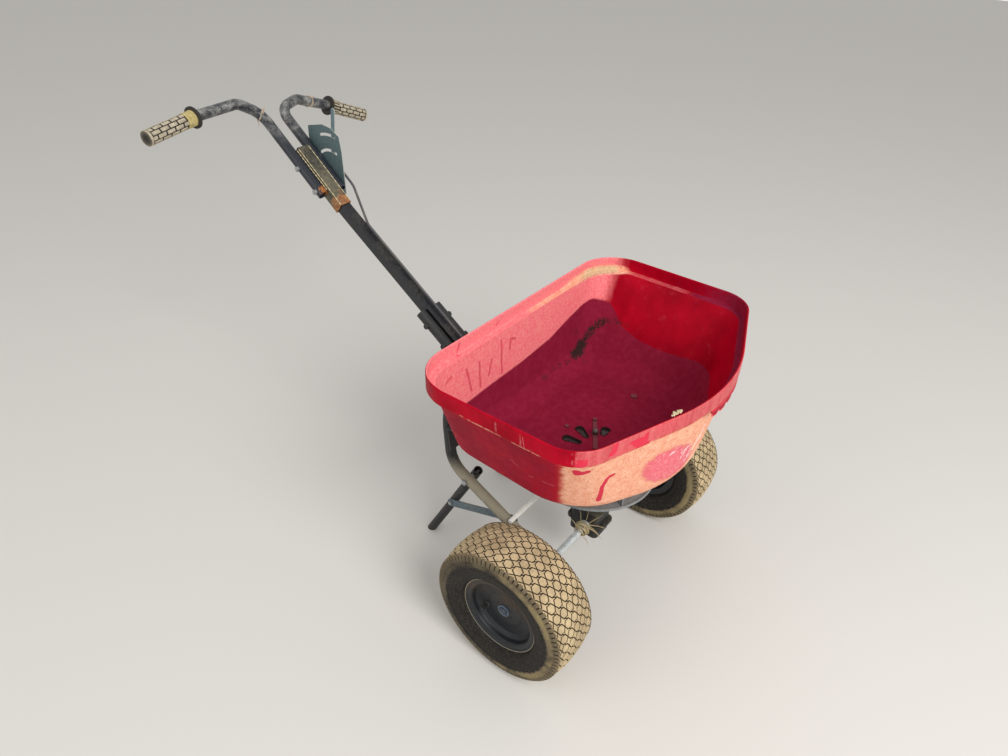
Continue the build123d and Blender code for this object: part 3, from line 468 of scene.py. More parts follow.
cap_ring = [(0.0303, 0.0140), (0.0337, 0.0140), (0.0343, 0.0134), (0.0343, 0.0118), (0.0337, 0.0112),
            (0.0322, 0.0112), (0.0322, 0.00805), (0.0303, 0.00805)]
cap_middle = [(0.0322, 0.0), (0.0322, 0.0095), (0.0346, 0.0095), (0.0350, 0.0090), (0.0350, 0.0076),
              (0.0346, 0.0070), (0.0342, 0.0068), (0.0342, 0.0)]
highlight_ring = [(0.0492, 0.0896), (0.0499, 0.0902), (0.0500, 0.0912), (0.0492, 0.0918)]
# Faces of a box whose corners run round one end and then round the other
BOX_FACES = ((0, 1, 2, 3), (7, 6, 5, 4), (0, 4, 5, 1), (1, 5, 6, 2), (2, 6, 7, 3), (3, 7, 4, 0))
collar = [(0.0267, 0.0042), (0.0290, 0.0042), (0.0296, 0.0056), (0.0290, 0.0078), (0.0267, 0.0090)]
VALVE_RADIUS = 0.054
VALVE_BELOW = math.radians(25)
valve_y = AXLE_Y + VALVE_RADIUS * math.cos(VALVE_BELOW)
valve_z = AXLE_Z - VALVE_RADIUS * math.sin(VALVE_BELOW)
for name, side in (("right", -1), ("left", 1)):
    body = "free_wheel" if name == "right" else "drive_wheel"
    vertices, faces = turned(rim_outline, 120, on_wheel(side))
    rim = solid(f"dished_rim_{name}", vertices, faces, rim_paint, 50.0)
    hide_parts(f"rim_{name}")
    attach(rim, body)
    vertices, faces = turned(cap_ring, 48, on_wheel(side))
    cap = solid(f"hub_cap_{name}", vertices, faces, cap_plastic, 30.0)
    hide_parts(f"axle_cap_{name}")
    vertices, faces = turned(cap_middle, 48, on_wheel(side))
    middle = solid(f"hub_cap_middle_{name}", vertices, faces, cap_dark, 30.0)
    # The pale ring on the rolled edge: a painted highlight
    vertices, faces = turned(highlight_ring, 120, on_wheel(side))
    soil = solid(f"rim_soil_{name}", vertices, faces, rim_edge_highlight, 60.0)
    place = on_wheel(side)
    bars = ([], [])
    for turn in (0.5, 0.5 + math.pi / 2):
        start = len(bars[0])
        for outboard in (0.0340, 0.0348):
            for along, across in ((-0.0068, -0.0009), (0.0068, -0.0009), (0.0068, 0.0009),
                                  (-0.0068, 0.0009)):
                bars[0].append(place(outboard, math.hypot(along, across), turn + math.atan2(across, along)))
        bars[1].extend([[start + k for k in face] for face in BOX_FACES])
    cross = solid(f"hub_cap_cross_{name}", *bars, cap_plastic, 30.0)
    vertices, faces = turned(collar, 28, lambda out, radius, angle: (
        side * (HALF_TRACK + out), valve_y + radius * math.cos(angle), valve_z + radius * math.sin(angle)))
    grommet = solid(f"valve_grommet_{name}", vertices, faces, valve_rubber, 30.0)
    for piece in (cap, middle, cross, grommet, soil):
        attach(piece, body)
paint(["valve_right", "valve_left"], valve_rubber)

# Axle: a galvanised rod through both wheels, in flanged steel bushings, with two collars that
# keep it centred on the gear case.

# Zinc dipped on steel: pale and half matt, spotted with a little rust
galvanised = weathered("Galvanised steel", "D6DAD9", "AEB3B2", "A89D83", cover=0.14, lie=0.05,
                       metallic=0.4, roughness=0.42, rust=0.12)
# Zinc plate on the bolts: greyer, with more of a metal's sheen
zinc = weathered("Zinc plated steel", "B7BABB", "8C8F90", "9C9078", cover=0.2, lie=0.1, metallic=0.7,
                 roughness=0.38, rust=0.1)
paint(["axle", "axle_collars", "axle_bushing_left", "axle_bushing_right"], galvanised)


def strand(points, radii, sides=6):
    """Vertices and faces of a thin closed strand along points; radii taper it."""
    vertices = []
    points = [Vector(p) for p in points]
    for index, point in enumerate(points):
        along = (points[min(index + 1, len(points) - 1)] - points[max(index - 1, 0)]).normalized()
        across = along.cross(Vector((0.31, 0.17, 0.93))).normalized()
        other = along.cross(across)
        for k in range(sides):
            angle = 2 * math.pi * k / sides
            vertices.append(point + radii[index] * (math.cos(angle) * across + math.sin(angle) * other))
    loops = [range(index * sides, (index + 1) * sides) for index in range(len(points))]
    faces = [face for pair in zip(loops, loops[1:]) for face in band(*pair)]
    return vertices, [*faces, loops[0][::-1], loops[-1]]


def join(parts):
    """Several sets of vertices and faces as one."""
    vertices, faces = [], []
    for some, others in parts:
        start = len(vertices)
        vertices += some
        faces += [[start + k for k in face] for face in others]
    return vertices, faces


# Dry grass wound round the right collar, with stiff ends that stand out from it: pale and matt
straw = weathered("Dry straw", "B5A47C", "8E7C56", "C9B88F", cover=0.3, lie=0.2, roughness=0.8,
                  coarse=16.67)
wraps = []
for start, end, turns, reach, thick, lean in ((-0.054, -0.030, 3.2, 0.0110, 0.0020, 0.3),
                                              (-0.046, -0.026, 2.6, 0.0150, 0.0018, 1.9),
                                              (-0.041, -0.029, 2.4, 0.0172, 0.0014, 3.6),
                                              (-0.050, -0.036, 2.2, 0.0132, 0.0016, 5.0)):
    line = []
    for k in range(int(turns * 14) + 1):
        t = k / (turns * 14)
        angle = lean + 2 * math.pi * turns * t
        away = reach + 0.0010 * math.sin(3.7 * angle + lean) + 0.0006 * math.sin(8.3 * angle)
        line.append((start + (end - start) * (t + 0.10 * math.sin(2.3 * angle)),
                     AXLE_Y + away * math.cos(angle), AXLE_Z + away * math.sin(angle)))
    wraps.append(strand(line, [thick * (0.6 + 0.4 * math.sin(math.pi * k / (len(line) - 1)))
                               for k in range(len(line))]))
for root, tip, thick in (((-0.030, -0.013, 0.185), (-0.030, -0.047, 0.234), 0.0012),
                         ((-0.031, -0.014, 0.180), (-0.030, -0.061, 0.197), 0.0016),
                         ((-0.032, -0.014, 0.172), (-0.030, -0.052, 0.157), 0.0018),
                         ((-0.034, -0.010, 0.178), (-0.031, -0.040, 0.168), 0.0012),
                         ((-0.030, -0.004, 0.184), (-0.030, -0.007, 0.229), 0.0009),
                         ((-0.036, 0.006, 0.182), (-0.030, 0.017, 0.213), 0.0009),
                         ((-0.048, 0.010, 0.176), (-0.052, 0.032, 0.192), 0.0010),
                         ((-0.046, -0.010, 0.152), (-0.050, -0.030, 0.134), 0.0012)):
    root, tip = Vector(root), Vector(tip)
    bow = Vector((0.0015, -0.0010, 0.0030))
    line = [root.lerp(tip, t) + bow * math.sin(math.pi * t) for t in (0.0, 0.25, 0.5, 0.75, 1.0)]
    line = [p + Vector((0, AXLE_Y, 0)) for p in line]
    wraps.append(strand(line, [thick, thick * 0.9, thick * 0.7, thick * 0.45, thick * 0.12]))
grass = solid("wound_grass", *join(wraps), straw, 60.0)
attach(grass, "drive_wheel")

# Drive: a moulded gear case on the axle, a steel shaft up into the hopper and the grey
# plastic disc with its fins that throws the grains.

# Moulded nylon: nearly black, with a low sheen where the dust is off
case_plastic = weathered("Dusty black gear case", "17181A", "242424", "6F664E", cover=0.2, lie=0.15,
                         roughness=0.5)
# Undyed moulded plastic: smooth, grey and a little cloudy
disc_plastic = weathered("Cloudy grey disc", "84898C", "6A6F72", "9A937F", cover=0.22, lie=0.1,
                         roughness=0.35)
# Plain turned steel: its sheen shows only between patches of rust
shaft_steel = weathered("Rusty steel shaft", "6F6A66", "4C4744", "7B5C46", cover=0.2, lie=0.2,
                        metallic=0.7, roughness=0.5, rust=0.45)
paint(["gear_case"], case_plastic)
paint(["spinner"], disc_plastic)
paint(["spinner_shaft"], shaft_steel)

# Frame: round steel tubes from the axle up to the column, painted black under olive-grey dust,
# with the legs bolted to them and flat zinc braces between.

# Enamel on tube under olive-grey dust up to about 0.3 m; above that it is drawn clean and black, which is
# painted shadow where the hopper's shadow falls across the tube
tube_paint_and_shadow = weathered("Dusty black tube paint", "1C1D1E", "2B2A28", "A39A84", cover=0.62, lie=0.18,
                       roughness=0.5, dust_between=(0.285, 0.335))
# The same enamel with little dust on it
leg_paint = weathered("Black leg paint", "141517", "1F2022", "5E594B", cover=0.2, lie=0.12, roughness=0.5)
# Galvanised strip: blue grey, with a dull metal's sheen
brace_zinc = weathered("Blue grey zinc strip", "6E7E88", "525F67", "8C846E", cover=0.2, lie=0.2,
                       metallic=0.6, roughness=0.45)
# Zinc plate on the tie rod: pale, and drawn almost white and without a metal's sheen as painted light, so
# that it stays bright in the shade under the hopper
rod_painted_bright = weathered("Pale plated rod", "F7F5EC", "E9E6DA", "CFC8B4", cover=0.0, lie=0.0, roughness=0.4)
# Drawn steel wire that has gone dull and violet grey
dull_rod = weathered("Dull grey rod", "56555B", "43424A", "7A7366", cover=0.2, lie=0.2, metallic=0.5,
                     roughness=0.5)
# The column's bolts, drawn dark, with a faint sheen on the heads
dark_bolt = weathered("Dark bolt heads", "2B2B30", "3A3A3E", "6A6458", cover=0.2, lie=0.2, metallic=0.4,
                      roughness=0.5)
paint(["frame_tube_left", "frame_tube_right"], tube_paint_and_shadow)
paint(["leg_left", "leg_right"], leg_paint)
paint(["leg_brace_left", "leg_brace_right"], brace_zinc)
paint(["tie_rod"], rod_painted_bright)
paint(["leg_bolt_left", "leg_bolt_right", "brace_bolts_left", "brace_bolts_right"], zinc)
paint(["column_bolts"], dark_bolt)
paint(["hopper_rail_left", "hopper_rail_right"], leg_paint)

# Hopper: a thin moulded tub of red plastic with a stepped lip, bolted to two rails. Sun has
# bleached the inside of its back, tan dust coats the front and lies along the ledge, and a
# strip of the lip's lower edge hangs torn at the front.

WALL = 0.004
FLOOR_LOW = 0.414
FLOOR_TOP = 0.418
LEDGE = 0.634
RIM_TOP = 0.6685
SHAFT_Y = 0.016
# Half width and y of the back corners, half width and y of the side corners, y of the front,
# then the radii of those three corners
RIM_OUTLINE = np.array((0.3526, 0.2384, 0.3485, -0.1417, -0.2653, 0.096, 0.082, 0.417))
# The wall's outlines, how high each stands, and how much higher its inner face has the same one
BODY_HEIGHTS = (FLOOR_LOW, 0.428, 0.453, 0.500, LEDGE)
BODY_RISE = (0.004, 0.003, 0.001, 0.0, 0.004)
BODY_OUTLINES = np.array((
    (0.200, 0.170, 0.215, -0.068, -0.182, 0.040, 0.130, 0.230),
    (0.238, 0.204, 0.250, -0.084, -0.218, 0.044, 0.150, 0.270),
    (0.255, 0.219, 0.270, -0.094, -0.236, 0.050, 0.150, 0.285),
    (0.277, 0.222, 0.287, -0.104, -0.243, 0.062, 0.120, 0.320),
    (0.340, 0.226, 0.336, -0.134, -0.253, 0.086, 0.070, 0.405),
))
STEP = 0.0052  # Between two points of an outline


def outline_parts(columns):
    """The outline's arcs, each with its centre, radius, start angle and sweep."""
    back_x, back_y, side_x, side_y, front_y, back_r, side_r, front_r = [float(v) for v in columns]
    corners = [((back_x, back_y), back_r), ((-back_x, back_y), back_r), ((-side_x, side_y), side_r),
               ((0.0, front_y), front_r), ((side_x, side_y), side_r)]
    arcs = []
    for index, (corner, radius) in enumerate(corners):
        corner = Vector(corner)
        arriving = (corner - Vector(corners[index - 1][0])).normalized()
        leaving = (Vector(corners[(index + 1) % 5][0]) - corner).normalized()
        turn = abs(arriving.angle_signed(leaving))
        start = corner - arriving * radius * math.tan(turn / 2)
        centre = start + Vector((-arriving.y, arriving.x)) * radius
        arcs.append((centre, radius, math.atan2(-arriving.x, arriving.y), turn))
    return arcs


def outline_counts(columns):
    """How many steps each arc and each straight run takes at the widest outline."""
    arcs = outline_parts(columns)
    counts = []
    for index, (centre, radius, start, turn) in enumerate(arcs):
        after = arcs[(index + 1) % 5]
        end = centre + radius * Vector((math.cos(start + turn), math.sin(start + turn)))
        begin = after[0] + after[1] * Vector((math.cos(after[2]), math.sin(after[2])))
        counts.append((max(4, round(radius * turn / STEP)), max(2, round((begin - end).length / STEP))))
    return counts


COUNTS = outline_counts(RIM_OUTLINE)


def outline(columns, inset):
    """Points of one outline, moved inwards, as an array in the axle's own coordinates."""
    arcs = outline_parts(columns)
    points, normals = [], []
    for (centre, radius, start, turn), (bends, _) in zip(arcs, COUNTS):
        for step in range(bends + 1):
            angle = start + turn * step / bends
            normal = Vector((math.cos(angle), math.sin(angle)))
            points.append(centre + normal * radius)
            normals.append(normal)
    result = []
    place = 0
    for index, (bends, runs) in enumerate(COUNTS):
        result += [points[place + k] - normals[place + k] * inset for k in range(bends + 1)]
        place += bends + 1
        end, begin = points[place - 1], points[place % len(points)]
        normal = normals[place - 1]
        result += [end.lerp(begin, k / runs) - normal * inset for k in range(1, runs)]
    return np.array([tuple(p) for p in result])


def body_columns(height, rise=False):
    """The wall's outline at a height, eased a little between the moulded sections."""
    heights = np.array(BODY_HEIGHTS) + (np.array(BODY_RISE) if rise else 0.0)
    ease = min(0.008, abs(height - heights[0]) / 2, abs(heights[-1] - height) / 2)
    total = np.zeros(8)
    for offset, weight in ((-ease, 0.3), (0.0, 0.4), (ease, 0.3)):
        total += weight * np.array([np.interp(height + offset, heights, BODY_OUTLINES[:, k])
                                    for k in range(8)])
    return total


def ring_points(columns, inset, height):
    """An outline's points, moved inwards, at one height."""
    flat = outline(columns, inset)
    return np.column_stack([flat, np.full(len(flat), height)])


HUB_RING = 0.084
FLOOR_RING = 0.1245
shaft_at = np.array((0.0, SHAFT_Y))


def shrink(points, share, height):
    """The ring drawn in towards a circle about the shaft, at a height that may depend on radius."""
    away = points[:, :2] - shaft_at
    far = np.linalg.norm(away, axis=1)
    radius = far * (1 - share) + HUB_RING * share
    flat = shaft_at + away / far[:, None] * radius[:, None]
    heights = height(radius) if callable(height) else np.full(len(flat), height)
    return np.column_stack([flat, heights])


def floor_step(radius):
    """The floor is a little lower inside a ring around the shaft."""
    t = np.clip((radius - FLOOR_RING) / 0.003, 0, 1)
    return FLOOR_TOP + 0.0012 * t * t * (3 - 2 * t)


def ledge_columns(share):
    """The outline on the ledge, from the wall's top at 0 to the lip at 1."""
    return BODY_OUTLINES[-1] * (1 - share) + RIM_OUTLINE * share


# Rings of points, first outside: from the shaft under the floor and up the wall to the lip's top
rings = []
lowest = ring_points(body_columns(FLOOR_LOW), 0.0, FLOOR_LOW)
for share in np.linspace(1.0, 0.0, 16):
    rings.append(shrink(lowest, share, FLOOR_LOW))
for height in np.concatenate([np.linspace(FLOOR_LOW, 0.453, 12)[1:], np.linspace(0.453, 0.633, 36)[1:]]):
    rings.append(ring_points(body_columns(height), 0.0, height))
for share in (0.12, 0.5, 0.9):
    rings.append(ring_points(ledge_columns(share), 0.0, LEDGE))
for inset, height in ((0.0005, 0.6341), (0.0, 0.6352)):
    rings.append(ring_points(RIM_OUTLINE, inset, height))
for height in np.linspace(0.640, 0.666, 6):
    rings.append(ring_points(RIM_OUTLINE, 0.0, height))
for inset, down in ((0.0002, 0.0011), (0.0009, 0.0003), (0.0020, 0.0), (0.0031, 0.0003),
                    (0.0038, 0.0011)):
    if down == 0:
        lip_top = len(rings)
    rings.append(ring_points(RIM_OUTLINE, inset, RIM_TOP - down))

# Then inside: down the lip and the wall, and over the floor back to the shaft
for height in np.linspace(0.666, 0.6405, 6):
    rings.append(ring_points(RIM_OUTLINE, WALL, height))
for inset, height in ((0.0044, 0.6388), (0.0056, 0.6381)):
    rings.append(ring_points(RIM_OUTLINE, inset, height))
for share in (0.75, 0.5, 0.25, 0.08):
    rings.append(ring_points(ledge_columns(share), WALL + 0.0006, 0.638 - 0.0004 * (1 - share)))
inner_heights = [[0.6372, 0.636], np.linspace(0.633, 0.454, 36), np.linspace(0.454, 0.420, 11)[1:]]
for height in np.concatenate(inner_heights):
    rings.append(ring_points(body_columns(height, True), WALL, height))
inner_edge = ring_points(body_columns(0.4186, True), WALL, 0.4193)
for share in np.linspace(0.0, 1.0, 24):
    rings.append(shrink(inner_edge, share, floor_step))

span = len(rings[0])
vertices = [tuple(p) for ring in rings for p in ring]
loops = [range(index * span, (index + 1) * span) for index in range(len(rings))]
faces = [face for pair in zip(loops, loops[1:]) for face in band(*pair)]

# Drop holes: teardrops with a low raised rim on the floor. Each is the place from the shaft and
# the radius of its wide circle, then of its narrow one.
DROP_HOLES = ((-0.050, 0.040, 0.009, -0.045, 0.014, 0.005),
              (-0.006, 0.036, 0.0085, -0.018, 0.012, 0.0045),
              (0.027, -0.010, 0.009, 0.014, -0.013, 0.0055))


def teardrop(hole, grow, steps=40):
    """The outline around a wide and a narrow circle, grown outwards."""
    wide = Vector((hole[0], SHAFT_Y + hole[1]))
    narrow = Vector((hole[3], SHAFT_Y + hole[4]))
    along = wide - narrow
    lean = math.acos((hole[2] - hole[5]) / along.length)
    heading = math.atan2(along.y, along.x)
    points = []
    for k in range(steps):
        angle = heading - lean + 2 * lean * k / (steps - 1)
        points.append(wide + (hole[2] + grow) * Vector((math.cos(angle), math.sin(angle))))
    for k in range(steps // 2):
        angle = heading + lean + (2 * math.pi - 2 * lean) * k / (steps // 2 - 1)
        points.append(narrow + (hole[5] + grow) * Vector((math.cos(angle), math.sin(angle))))
    return [tuple(p) for p in points]


def floor_patch(edge_ring, height, holes):
    """Triangles between the hub ring and the holes' outlines; returns the holes' vertex indices."""
    flat = [tuple(vertices[edge_ring + k][:2]) for k in range(span)]
    edges = [(k, (k + 1) % span) for k in range(span)]
    groups = []
    for hole in holes:
        start = len(flat)
        flat += hole
        edges += [(start + k, start + (k + 1) % len(hole)) for k in range(len(hole))]
        groups.append(range(start, start + len(hole)))
    spots, _, triangles, origin, _, _ = delaunay_2d_cdt([Vector(p) for p in flat], edges, [], 0, 1e-7)
    index_of = {}
    for new, old in enumerate(origin):
        for k in old:
            index_of[k] = new
    base = len(vertices)
    mapped = []
    for new, spot in enumerate(spots):
        old = origin[new][0] if origin[new] else None
        mapped.append(edge_ring + old if old is not None and old < span else base + new)
    vertices.extend((p.x, p.y, height) for p in spots)
    polygons = [[Vector(p) for p in hole] for hole in holes]
    for triangle in triangles:
        middle = sum((spots[k] for k in triangle), Vector((0, 0))) / 3
        if not any(inside_polygon(middle, polygon) for polygon in polygons):
            faces.append([mapped[k] for k in triangle])
    return [[mapped[index_of[k]] for k in group] for group in groups]


def inside_polygon(point, polygon):
    """Whether a point lies in a polygon."""
    crossings = 0
    for a, b in zip(polygon, polygon[1:] + polygon[:1]):
        if (a.y > point.y) != (b.y > point.y):
            if point.x < (b.x - a.x) * (point.y - a.y) / (b.y - a.y) + a.x:
                crossings += 1
    return crossings % 2 == 1


def circle(radius, steps=40):
    """Points of a circle round the shaft."""
    angles = [2 * math.pi * k / steps for k in range(steps)]
    return [(radius * math.cos(angle), SHAFT_Y + radius * math.sin(angle)) for angle in angles]


SHAFT_HOLE = 0.0063
below = floor_patch(0, FLOOR_LOW, [teardrop(hole, 0.0) for hole in DROP_HOLES] + [circle(SHAFT_HOLE)])
above = floor_patch((len(rings) - 1) * span, FLOOR_TOP,
                    [teardrop(hole, 0.0035) for hole in DROP_HOLES] + [circle(SHAFT_HOLE)])
rim_start = len(vertices)
for index, hole in enumerate(DROP_HOLES):
    loop = above[index]
    for grow, height in ((0.0026, 0.4192), (0.0016, 0.4197), (0.0006, 0.4194), (0.0, 0.4186)):
        start = len(vertices)
        vertices += [(x, y, height) for x, y in teardrop(hole, grow)]
        following = range(start, len(vertices))
        faces += band(loop, following)
        loop = following
    faces += band(loop, below[index])
faces += band(above[-1], below[-1])

points = np.array(vertices)
x, y, z = points[:, 0], points[:, 1], points[:, 2]


def soft(value, start, end):
    """0 at start, 1 at end and smooth between, as a material's SMOOTH, for an array."""
    t = np.clip((value - start) / (end - start), 0, 1)
    return t * t * (3 - 2 * t)


def near_line(line, width, feather):
    """1 within width of a line of points, fading over feather."""
    best = np.full(len(points), 9.0)
    line = np.array(line)
    for a, b in zip(line[:-1], line[1:]):
        ab = b - a
        t = np.clip(((points - a) @ ab) / (ab @ ab), 0, 1)
        best = np.minimum(best, np.linalg.norm(points - a - t[:, None] * ab, axis=1))
    return 1 - soft(best, width, width + feather)


def within(first, second, polygon):
    """1 where a pair of coordinates lies in a polygon."""
    result = np.zeros(len(first), dtype=bool)
    for (a, b), (c, d) in zip(polygon, polygon[1:] + polygon[:1]):
        if b != d:
            result ^= ((b > second) != (d > second)) & (first < (c - a) * (second - b) / (d - b) + a)
    return result.astype(float)


# Which vertices are inside the tub: the rings from the lip's top on, and the floor's upper face
ring_end = len(rings) * span
inner = (np.arange(len(points)) >= lip_top * span).astype(float)
inner[ring_end:] = z[ring_end:] > (FLOOR_LOW + FLOOR_TOP) / 2
outer = 1 - inner
lip = soft(z, LEDGE + 0.0005, LEDGE + 0.0015)
back = soft(y, 0.150, 0.222)
bearing = np.degrees(np.arctan2(y - SHAFT_Y, x))  # 0 towards the left wheel, 90 backwards
from_shaft = np.hypot(x, y - SHAFT_Y)

# Dust on the front: it starts at the side corners, is thin on the lip and rubbed off in places
front = soft(-0.062 - 0.225 * (z - 0.461) - y, -0.016, 0.031) * outer
lip_front = soft(-0.127 - y, -0.002, 0.004) * outer
dust = front * (1 - lip) * 0.68 + lip_front * lip * 0.14 + outer * back * 0.15
ledge_flat = inner * soft(z, 0.6365, 0.6372) * soft(-z, -0.6395, -0.6385)
heap = np.exp(-(np.maximum(0.295 - x, 0) / 0.095) ** 2 - (np.maximum(0.200 - y, 0) / 0.030) ** 2)
patchy = 0.5 + 0.28 * np.sin(31 * x + 1.1) * np.sin(47 * x + 0.4) + 0.10 * np.sin(113 * x)
at_left = soft(x, 0.28, 0.315)
on_ledge = back * soft(x, -0.03, 0.08) * (0.26 + 0.22 * patchy)
on_ledge = on_ledge + at_left * (0.14 - 0.12 * soft(-y, -0.10, 0.02))
dust = np.maximum(dust, ledge_flat * (on_ledge + 0.75 * heap))
dust = np.maximum(dust, inner * heap * soft(z, 0.630, 0.637) * soft(-z, -0.654, -0.642) * 1.1)

# Below a line the inside is dulled purple and above it the back is bleached. On the floor and lower walls
# the purple is a film left by the load; on the back wall the line is a painted shadow edge, where the front
# lip's shadow falls, and the purple below it is painted shade
load_and_shadow_line = np.interp(bearing, (-180, -90, -42, -31, -21, -10, 1, 13, 22, 28, 36, 45, 62, 90, 120, 180),
                 (0.505, 0.50, 0.503, 0.516, 0.515, 0.505, 0.502, 0.508, 0.524, 0.566, 0.580, 0.566,
                  0.541, 0.531, 0.528, 0.51))
rubbed = 0.14 * soft(from_shaft, 0.127, 0.130) * soft(-from_shaft, -0.165, -0.150) * soft(y, 0.05, 0.12)
dulling_and_shade = inner * soft(load_and_shadow_line - z, -0.004, 0.008) * (1 - rubbed)
chalk = inner * back * soft(z - load_and_shadow_line, -0.010, 0.002)
chalk = np.maximum(chalk, inner * lip * (0.18 + 0.76 * back))
chalk *= 1 - inner * soft(-y, 0.05, 0.12)
chalk = np.maximum(chalk, lip_front * lip * 0.46)
dulling_and_shade = np.maximum(dulling_and_shade, inner * lip * at_left * (0.25 + 0.4 * soft(-y, -0.02, 0.10)))
chalk = np.maximum(chalk, ledge_flat * (back * 0.8 + 0.42 * at_left * soft(y, -0.05, 0.02)))
dulling_and_shade = np.maximum(dulling_and_shade, ledge_flat * soft(-y, -0.04, 0.04) * 0.9)
# The outer walls away from the front are dulled darker purple: painted shade
dulling_and_shade = np.maximum(dulling_and_shade, outer * (1 - lip) * (1 - front) * 0.48)

# Black grime under the back left corner, in patches, and the drop holes drawn black, which is painted shade
# inside them
grime_and_hole_shade = np.zeros(len(points))
for line, level, width, feather in (
        ([(0.205, 0.212, 0.446), (0.222, 0.205, 0.450), (0.234, 0.209, 0.464)], 1.0, 0.006, 0.024),
        ([(0.232, 0.209, 0.461), (0.248, 0.203, 0.482), (0.263, 0.196, 0.503), (0.281, 0.177, 0.521)],
         0.9, 0.003, 0.017),
        ([(0.281, 0.177, 0.521), (0.287, 0.150, 0.528), (0.287, 0.118, 0.527)], 0.66, 0.002, 0.013)):
    grime_and_hole_shade = np.maximum(grime_and_hole_shade, level * near_line(line, width, feather))
for spot, level in (((0.077, 0.208, 0.444), 0.62), ((0.111, 0.210, 0.448), 0.55),
                    ((0.137, 0.209, 0.445), 0.6), ((0.171, 0.206, 0.441), 0.62),
                    ((0.216, 0.183, 0.429), 0.6), ((0.217, 0.218, 0.500), 0.55),
                    ((-0.081, 0.144, 0.418), 0.35)):
    grime_and_hole_shade = np.maximum(grime_and_hole_shade, level * near_line([spot, (spot[0] + 0.004, spot[1], spot[2])], 0.003, 0.016))
grime_and_hole_shade *= inner
# The drop holes' raised rims and walls drawn wholly black: painted shade
grime_and_hole_shade[rim_start:] = 1.0
for group in below[:-1]:
    grime_and_hole_shade[group] = 1.0

# Wiped places on the lip, and the worn oval patch on the front
clean = np.zeros(len(points))
for polygon in ([(-0.282, 0.668), (-0.266, 0.668), (-0.272, 0.640), (-0.286, 0.645)],
                [(-0.250, 0.660), (-0.206, 0.661), (-0.200, 0.634), (-0.229, 0.634)],
                [(-0.345, 0.634), (-0.322, 0.634), (-0.318, 0.655), (-0.338, 0.652)]):
    clean = np.maximum(clean, 0.72 * within(x, z, polygon) * lip * lip_front)
patch_x, patch_z, patch_lean = x + 0.089, z - 0.515, math.radians(29.1)
patch_along = patch_x * math.cos(patch_lean) - patch_z * math.sin(patch_lean)
patch_square = patch_x * math.sin(patch_lean) + patch_z * math.cos(patch_lean)
patch = soft(-np.hypot(patch_along / 0.086, patch_square / 0.050), -1.45, -0.55) * outer * front
points[:, 1] += AXLE_Y


SMALLER = {"node": "ShaderNodeMath", "operation": "MINIMUM"}
SCALED = {"node": "ShaderNodeVectorMath", "operation": "SCALE", "feeds": (0, "Scale")}


def strokes(tree, spot, lines, width, feather):
    """1 on thin lines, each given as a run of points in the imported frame, in millimetres."""
    best = None
    for line in lines:
        for start, end in zip(line[:-1], line[1:]):
            start, run = Vector(start) / 1000, (Vector(end) - Vector(start)) / 1000
            off = put(tree, APART, spot, start)
            along = put(tree, "ShaderNodeVectorMath", off, run / run.length_squared,
                        operation="DOT_PRODUCT", gives="Value")
            foot = put(tree, SCALED, run, put(tree, PLUS, along, 0.0, use_clamp=True))
            gap = put(tree, GAP, off, foot)
            best = gap if best is None else put(tree, SMALLER, best, gap)
    return put(tree, SMOOTH, best, width + feather, width)


